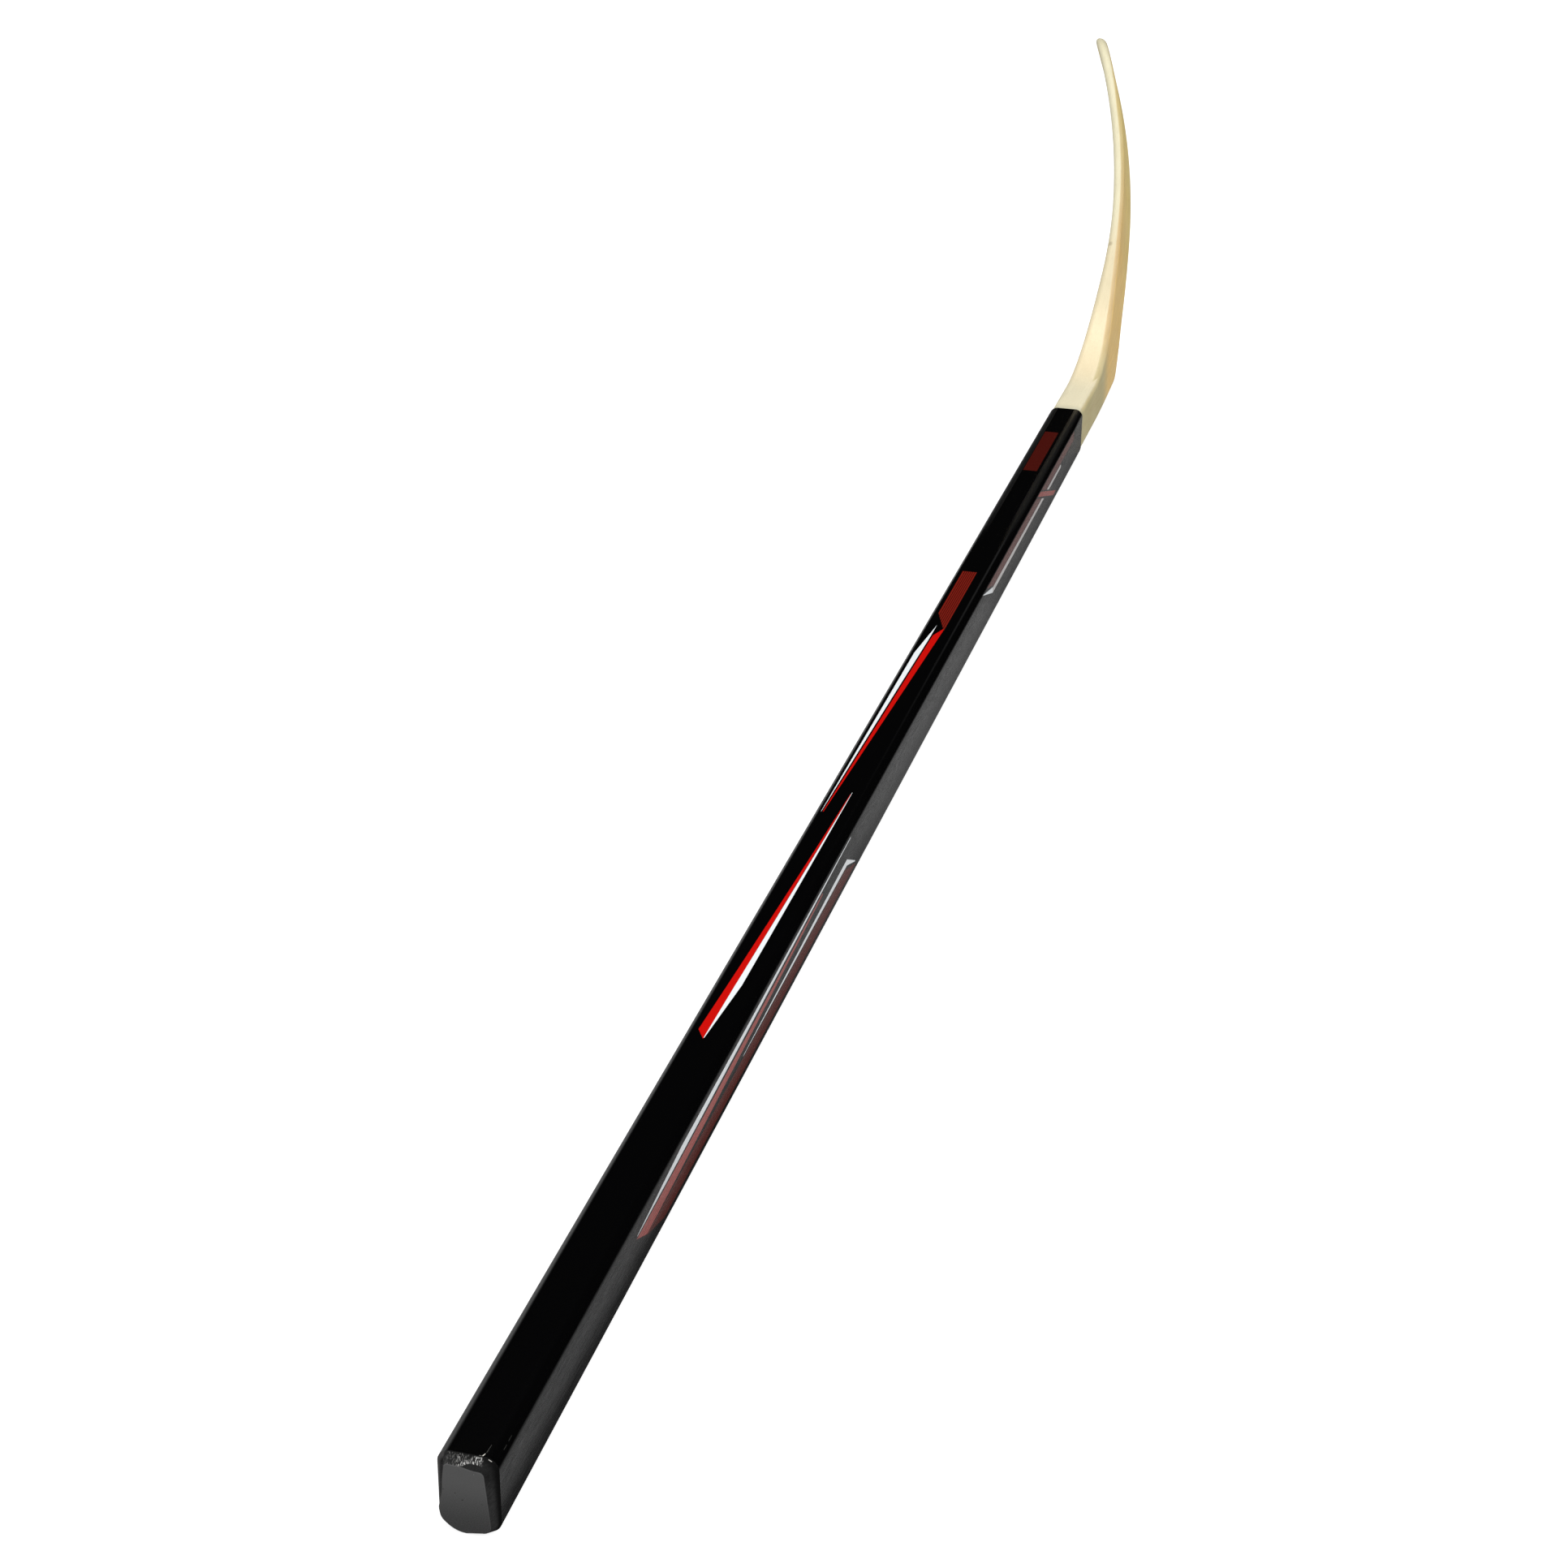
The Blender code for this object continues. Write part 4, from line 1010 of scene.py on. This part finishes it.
shares = np.concatenate([[0.0, 0.04], np.linspace(0.10, 0.92, 10), [0.97, 1.0]])
outer_rings, inner_rings = bevel_rings(shares), bevel_rings(shares[::-1], COAT_THICKNESS)
runs = sanded_run(outer_rings[-1:])
fill = np.array([0.0, 0.25, 0.5, 0.75, 0.9, 0.98])[:, None, None]
end_face = FACE_MIDDLE + (outer_rings[:1] - FACE_MIDDLE) * fill
inner_face = FACE_MIDDLE + (inner_rings[-1:] - FACE_MIDDLE) * fill[::-1]
rings = np.concatenate([end_face, outer_rings, inner_rings, inner_face])
flat = np.zeros((len(fill), runs.shape[1]))
outside, inside = runs * shares[:, None], runs * shares[::-1, None] + COAT_THICKNESS
depth = np.concatenate([flat, outside, inside, flat + COAT_THICKNESS])
bevel_share = np.concatenate([flat[:, 0], shares, shares[::-1], flat[:, 0]])[:, None] * np.ones(depth.shape)
points = np.concatenate([depth[..., None], rings], axis=-1)
butt = make_piece("butt_paint", points, {"bevel": bevel_share}, caps=False, sharp=18.0)

# %% [markdown]
# On the end face the paint is matt, darker low down, with the texture of end grain under it and a
# painted highlight along the right end of the bottom rim. On the bevels it is thin and scored across by the
# sander. On the top one it has worn off in streaks, so the pale fibres catch the light, and between
# them and the end face it is thick and glossier. A slanted chip at the right shows bare wood. The
# wear could be painted into an image, but as masks in metres every patch stays sharp from close by
# and can be moved by one number.

# %% Paint on the end face
SPECKLE_SCALE, PIT_SCALE = 2600.0, (1.0, 420.0, 900.0)
paint, tree, shader = new_material("butt_paint", Specular_IOR_Level=0.08)
position = object_position(tree)
y, z = parts_of(tree, position)[1:]
bevel = node(tree, "Attribute", attribute_name="bevel").outputs["Fac"]
on_bevel = ramp(tree, bevel, 0.01, 0.08)
speckle = noise(tree, position, SPECKLE_SCALE, 3.0, 0.7)
pits = ramp(tree, noise(tree, stretched(tree, position, PIT_SCALE), 1.0), 0.70, 0.74)
# The pale line along the right end of the bottom rim is a painted highlight.
low_rim_highlight = product(tree, ramp(tree, z, -0.0138, -0.0143), ramp(tree, y, 0.0010, -0.0020))
tone = mixed(tree, ramp(tree, z, -0.013, 0.008), grey(0.043), grey(0.099))
tone = tinted(tree, tone, grey(0.125), ramp(tree, speckle, 0.3, 0.7, 0.0, 0.30))
tone = tinted(tree, tone, grey(0.006), pits, 0.8)
tone = tinted(tree, tone, grey(0.20), low_rim_highlight, 0.5)
print("paint of the end face:", len(tree.nodes), "nodes")

# %% Paint on the bevels
SCORE_TURN, SCORE_TILT = math.radians(48.0), math.radians(44.0)
turned = stretched(tree, position, UNCHANGED, (0.0, 0.0, SCORE_TURN))
along_score = stretched(tree, turned, UNCHANGED, (0.0, SCORE_TILT, 0.0))
score_values = {"Position": along_score, "Length": 700.0, "Fineness": 6500.0}
scored = use_group(tree, streak_group, score_values)["Fine"]
bevel_tone = mixed(tree, scored, grey(0.012), grey(0.036))
bevel_tone = tinted(tree, bevel_tone, grey(0.004), ramp(tree, z, 0.0020, 0.0090, 0.0, 0.55))
bevel_tone = tinted(tree, bevel_tone, grey(0.003), ramp(tree, bevel, 0.45, 0.85))

# The left bevel is black at the end face; its paler grey towards the film is a painted highlight, and it is
# paler low down too.
left_tone = mixed(tree, ramp(tree, bevel, 0.45, 0.75), grey(0.004), (0.050, 0.048, 0.048, 1.0))
left_tone = tinted(tree, left_tone, grey(0.045), ramp(tree, z, -0.0010, -0.0070))
bevel_tone = tinted(tree, bevel_tone, left_tone, ramp(tree, y, 0.0074, 0.0082))
tone = tinted(tree, tone, bevel_tone, on_bevel)
print("paint with its bevels:", len(tree.nodes), "nodes")

# %% Wear of the paint
PALE_FIBRE, CHIP_WOOD, SPECK = (0.66, 0.655, 0.64, 1.0), (0.60, 0.58, 0.54, 1.0), (0.5, 0.5, 0.48, 1.0)
TOP_BEVEL, CHIP_SPAN = (-0.0058, -0.0046, 0.0072, 0.0078), (-0.0083, -0.0081, -0.0072, -0.0070)
CHIP_RISE, CHIP_SLOPE = 0.0179, 0.5
WORN_SCALE, WORN_TURN = (900.0, 3400.0, 900.0), math.radians(-9.0)
fibre_at = stretched(tree, position, WORN_SCALE, (0.0, 0.0, WORN_TURN))
fibres = noise(tree, fibre_at, 1.0, 3.0, 0.65)
patch = noise(tree, position, 300.0)

# On the top bevel thick paint reaches from the end face to a wavering line, further on the right.
thick_to = maths(tree, "MULTIPLY_ADD", noise(tree, position, 420.0, 1.0), 0.16,
                 ramp(tree, y, 0.0030, -0.0015, -0.08, 0.34))
past_thick = ramp(tree, maths(tree, "SUBTRACT", bevel, thick_to), -0.03, 0.03)
on_top_bevel = product(tree, ramp(tree, z, 0.0100, 0.0104), within(tree, y, TOP_BEVEL))
worn = product(tree, on_bevel, past_thick, on_top_bevel, ramp(tree, bevel, 0.97, 0.88))
bright = product(tree, ramp(tree, fibres, 0.47, 0.66), ramp(tree, patch, 0.29, 0.55), worn,
                 ramp(tree, y, 0.0044, 0.0008, 0.16, 1.0))
tone = tinted(tree, tone, PALE_FIBRE, bright)

# The chip is a short dash along the line z = 0.5 y + 17.9 mm.
chip_line = maths(tree, "MULTIPLY_ADD", y, CHIP_SLOPE, CHIP_RISE)
from_chip = maths(tree, "ABSOLUTE", maths(tree, "SUBTRACT", z, chip_line))
chip = product(tree, ramp(tree, from_chip, 0.00016, 0.00008), within(tree, y, CHIP_SPAN),
               ramp(tree, bevel, 0.6, 0.7))
tone = tinted(tree, tone, CHIP_WOOD, chip, 0.8)
specks = use_group(tree, dust_group, {"Position": position, "Density": 700.0, "Rarity": 0.990})["Specks"]
tree.links.new(tinted(tree, tone, SPECK, specks, 0.6), shader.inputs["Base Color"])
print("paint with its wear:", len(tree.nodes), "nodes")

# %% Gloss and relief of the paint
MATT, BEVEL_GLOSS, THICK_GLOSS = 0.64, 0.26, 0.24
thick = product(tree, on_bevel, on_top_bevel, maths(tree, "SUBTRACT", 1.0, past_thick))
roughness = maths(tree, "MULTIPLY_ADD", on_bevel, -BEVEL_GLOSS, MATT)
tree.links.new(maths(tree, "MULTIPLY_ADD", thick, -THICK_GLOSS, roughness), shader.inputs["Roughness"])
height = maths(tree, "MULTIPLY_ADD", scored, on_bevel, maths(tree, "MULTIPLY", speckle, 0.6))
height = maths(tree, "MULTIPLY_ADD", thick, 2.0, height)
bump = node(tree, "Bump", {"Height": height, "Strength": 0.5, "Distance": 0.00008})
tree.links.new(bump.outputs[0], shader.inputs["Normal"])
place(butt, paint, "butt_coat_black", "butt_end_coat")
print("painted butt:", len(tree.nodes), "nodes")

# %% [markdown]
# ## Middle ply
# The middle ply could be lofted like its neighbours. It is closed in on all sides, so its CAD solid
# stays and only gets their wood.

# %% Middle ply
middle_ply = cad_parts["shaft_centre_ply"]
middle_ply.data.materials.clear()
middle_ply.data.materials.append(core_wood)
print("kept from the CAD model:", middle_ply.name)

# %% [markdown]
# ## Floor and light
# The stick stands on its narrow underside on a white floor. Its wide faces are glossy and mirror the
# floor, so one white for every ray would wash their black out. The floor therefore answers each kind of
# ray in its own way: the camera sees a white page, soft light meets grey paper, and a mirror shows an
# even grey on the left. On the right it shows painted light: a pale strip beside the stick that falls
# off to black, with a painted shadow at the stick's foot.

# %% Floor
FLOOR_SIZE = 8.0
PAGE_GREY, PAGE_GLOW, PAPER_GREY, LEFT_MIRROR, RIGHT_MIRROR = 0.50, 0.75, 0.42, 0.28, 0.375
floor_mesh = bpy.data.meshes.new("floor")
corners = np.array([[-1, -1, 0], [1, -1, 0], [1, 1, 0], [-1, 1, 0]], float) * FLOOR_SIZE
corners[:, 2] = -SHAFT_WIDE / 2
floor_mesh.from_pydata(corners, [], [(0, 1, 2, 3)])
floor = bpy.data.objects.new("floor", floor_mesh)
bpy.context.scene.collection.objects.link(floor)
floor_material = bpy.data.materials.new("white_floor")
floor_material.use_nodes = True
tree = floor_material.node_tree
tree.nodes.clear()
seen = node(tree, "LightPath").outputs
sheet = node(tree, "BsdfDiffuse", {"Color": grey(PAGE_GREY)}).outputs[0]
glow = node(tree, "Emission", {"Color": grey(1.0), "Strength": PAGE_GLOW}).outputs[0]
page = node(tree, "AddShader", {0: sheet, 1: glow}).outputs[0]

# Right at the foot of the stick the strip is dim, a painted shadow of the stick, less so further along.
along_floor, sideways = parts_of(tree, object_position(tree))[:2]
from_stick = maths(tree, "ABSOLUTE", sideways)
strip = maths(tree, "MAXIMUM", ramp(tree, from_stick, 0.0152, 0.0190, 0.12, 1.0),
              ramp(tree, along_floor, 0.15, 0.60, 0.0, 0.60))
# Beyond the strip the painted light falls off to black; it is brighter from halfway along the shaft and
# dimmer again past 0.8 m.
falling_off = product(tree, ramp(tree, from_stick, 0.0195, 0.0240, 1.0, 0.42),
                      ramp(tree, from_stick, 0.030, 0.052, 1.0, 0.01))
further_on = product(tree, ramp(tree, along_floor, 0.46, 0.56, 1.0, 1.25),
                     ramp(tree, along_floor, 0.79, 0.84, 1.0, 0.80))
on_the_right = product(tree, strip, falling_off, further_on, RIGHT_MIRROR)
on_the_left = ramp(tree, sideways, -MM, MM)
mirrored = node(tree, "Mix", {0: on_the_left, 2: on_the_right, 3: LEFT_MIRROR}).outputs[0]
tone = mixed(tree, seen["Is Glossy Ray"], grey(PAPER_GREY), mirrored)
paper = node(tree, "BsdfDiffuse", {"Color": tone}).outputs[0]
surface = node(tree, "MixShader", {0: seen["Is Camera Ray"], 1: paper, 2: page}).outputs[0]
node(tree, "OutputMaterial", {"Surface": surface})
floor_mesh.materials.append(floor_material)
print("floor at z = %.1f mm" % (corners[0, 2] / MM))

# %% [markdown]
# The film's black gloss only reads as black where it mirrors something dark. A studio picture could
# light the scene, but what the film has to mirror is simple, so the sky is worked out from directions.
# It is pale all round except for one dark area ahead of the stick, as in a studio whose far end isn't
# lit, and a smaller dark patch at the right horizon. In the dark area there is a faint gleam, which
# shows on the top face. To the camera the sky is plain white.

# %% Sky
AHEAD, RIGHT_HORIZON, GLEAM = (0.9029, -0.0790, 0.4226), (0.790, -0.613, 0.0), (0.932, -0.108, 0.345)
DARK_SKY, PALE_SKY, GLEAM_STRENGTH = 0.003, 0.55, 0.14
world = bpy.data.worlds.new("studio")
bpy.context.scene.world = world
world.use_nodes = True
tree = world.node_tree
tree.nodes.clear()
direction = node(tree, "TexCoord").outputs["Generated"]


def sky_round(middle, inner, outer, near, far):
    """Strength of the sky: near within the inner angle of a direction, far beyond the outer angle.

    The dot product of two directions is the cosine of the angle between them."""
    facing = node(tree, "VectorMath", {0: direction, 1: middle}, operation="DOT_PRODUCT").outputs["Value"]
    return ramp(tree, facing, math.cos(math.radians(inner)), math.cos(math.radians(outer)), near, far)


far_end = sky_round(AHEAD, 36.0, 50.0, DARK_SKY, PALE_SKY)
horizon = sky_round(RIGHT_HORIZON, 16.0, 28.0, DARK_SKY, PALE_SKY)
gleam = sky_round(GLEAM, 2.0, 7.0, GLEAM_STRENGTH, 0.0)
lit = maths(tree, "MAXIMUM", maths(tree, "MINIMUM", far_end, horizon), gleam)
strength = maths(tree, "MAXIMUM", lit, node(tree, "LightPath").outputs["Is Camera Ray"])
sky = node(tree, "Background", {"Color": grey(1.0), "Strength": strength}).outputs[0]
node(tree, "OutputWorld", {"Surface": sky})
print("sky:", len(tree.nodes), "nodes")

# %% [markdown]
# A soft lamp hangs overhead and three more stand at the right, at the left and behind the camera. The
# sky alone would light the wood too evenly, and small lamps would put hard spots on the gloss.


# %% Lamps
def soft_lamp(name, location, target, size, watts):
    """Square area lamp at a place, facing a target."""
    data = bpy.data.lights.new(name, "AREA")
    data.size = size
    data.energy = watts
    lamp = bpy.data.objects.new(name, data)
    lamp.location = location
    lamp.rotation_euler = (Vector(target) - Vector(location)).to_track_quat("-Z", "Y").to_euler()
    bpy.context.scene.collection.objects.link(lamp)


soft_lamp("overhead", (0.80, 0.10, 2.40), (0.80, 0.0, 0.0), 2.0, 27.5)
soft_lamp("right_fill", (0.10, -2.20, 1.30), (0.70, 0.0, 0.0), 1.4, 38.0)
soft_lamp("left_fill", (-0.30, 2.20, 1.40), (0.9, 0.0, 0.0), 1.4, 26.0)
soft_lamp("behind_camera", (-2.20, -0.40, 0.90), (0.3, 0.0, 0.0), 1.2, 9.0)
print("lamps:", [lamp.name for lamp in bpy.data.lights])

# %% [markdown]
# ## Finish
# The picture is shown through the Standard view transform.

# %% Finish
bpy.context.scene.view_settings.view_transform = "Standard"
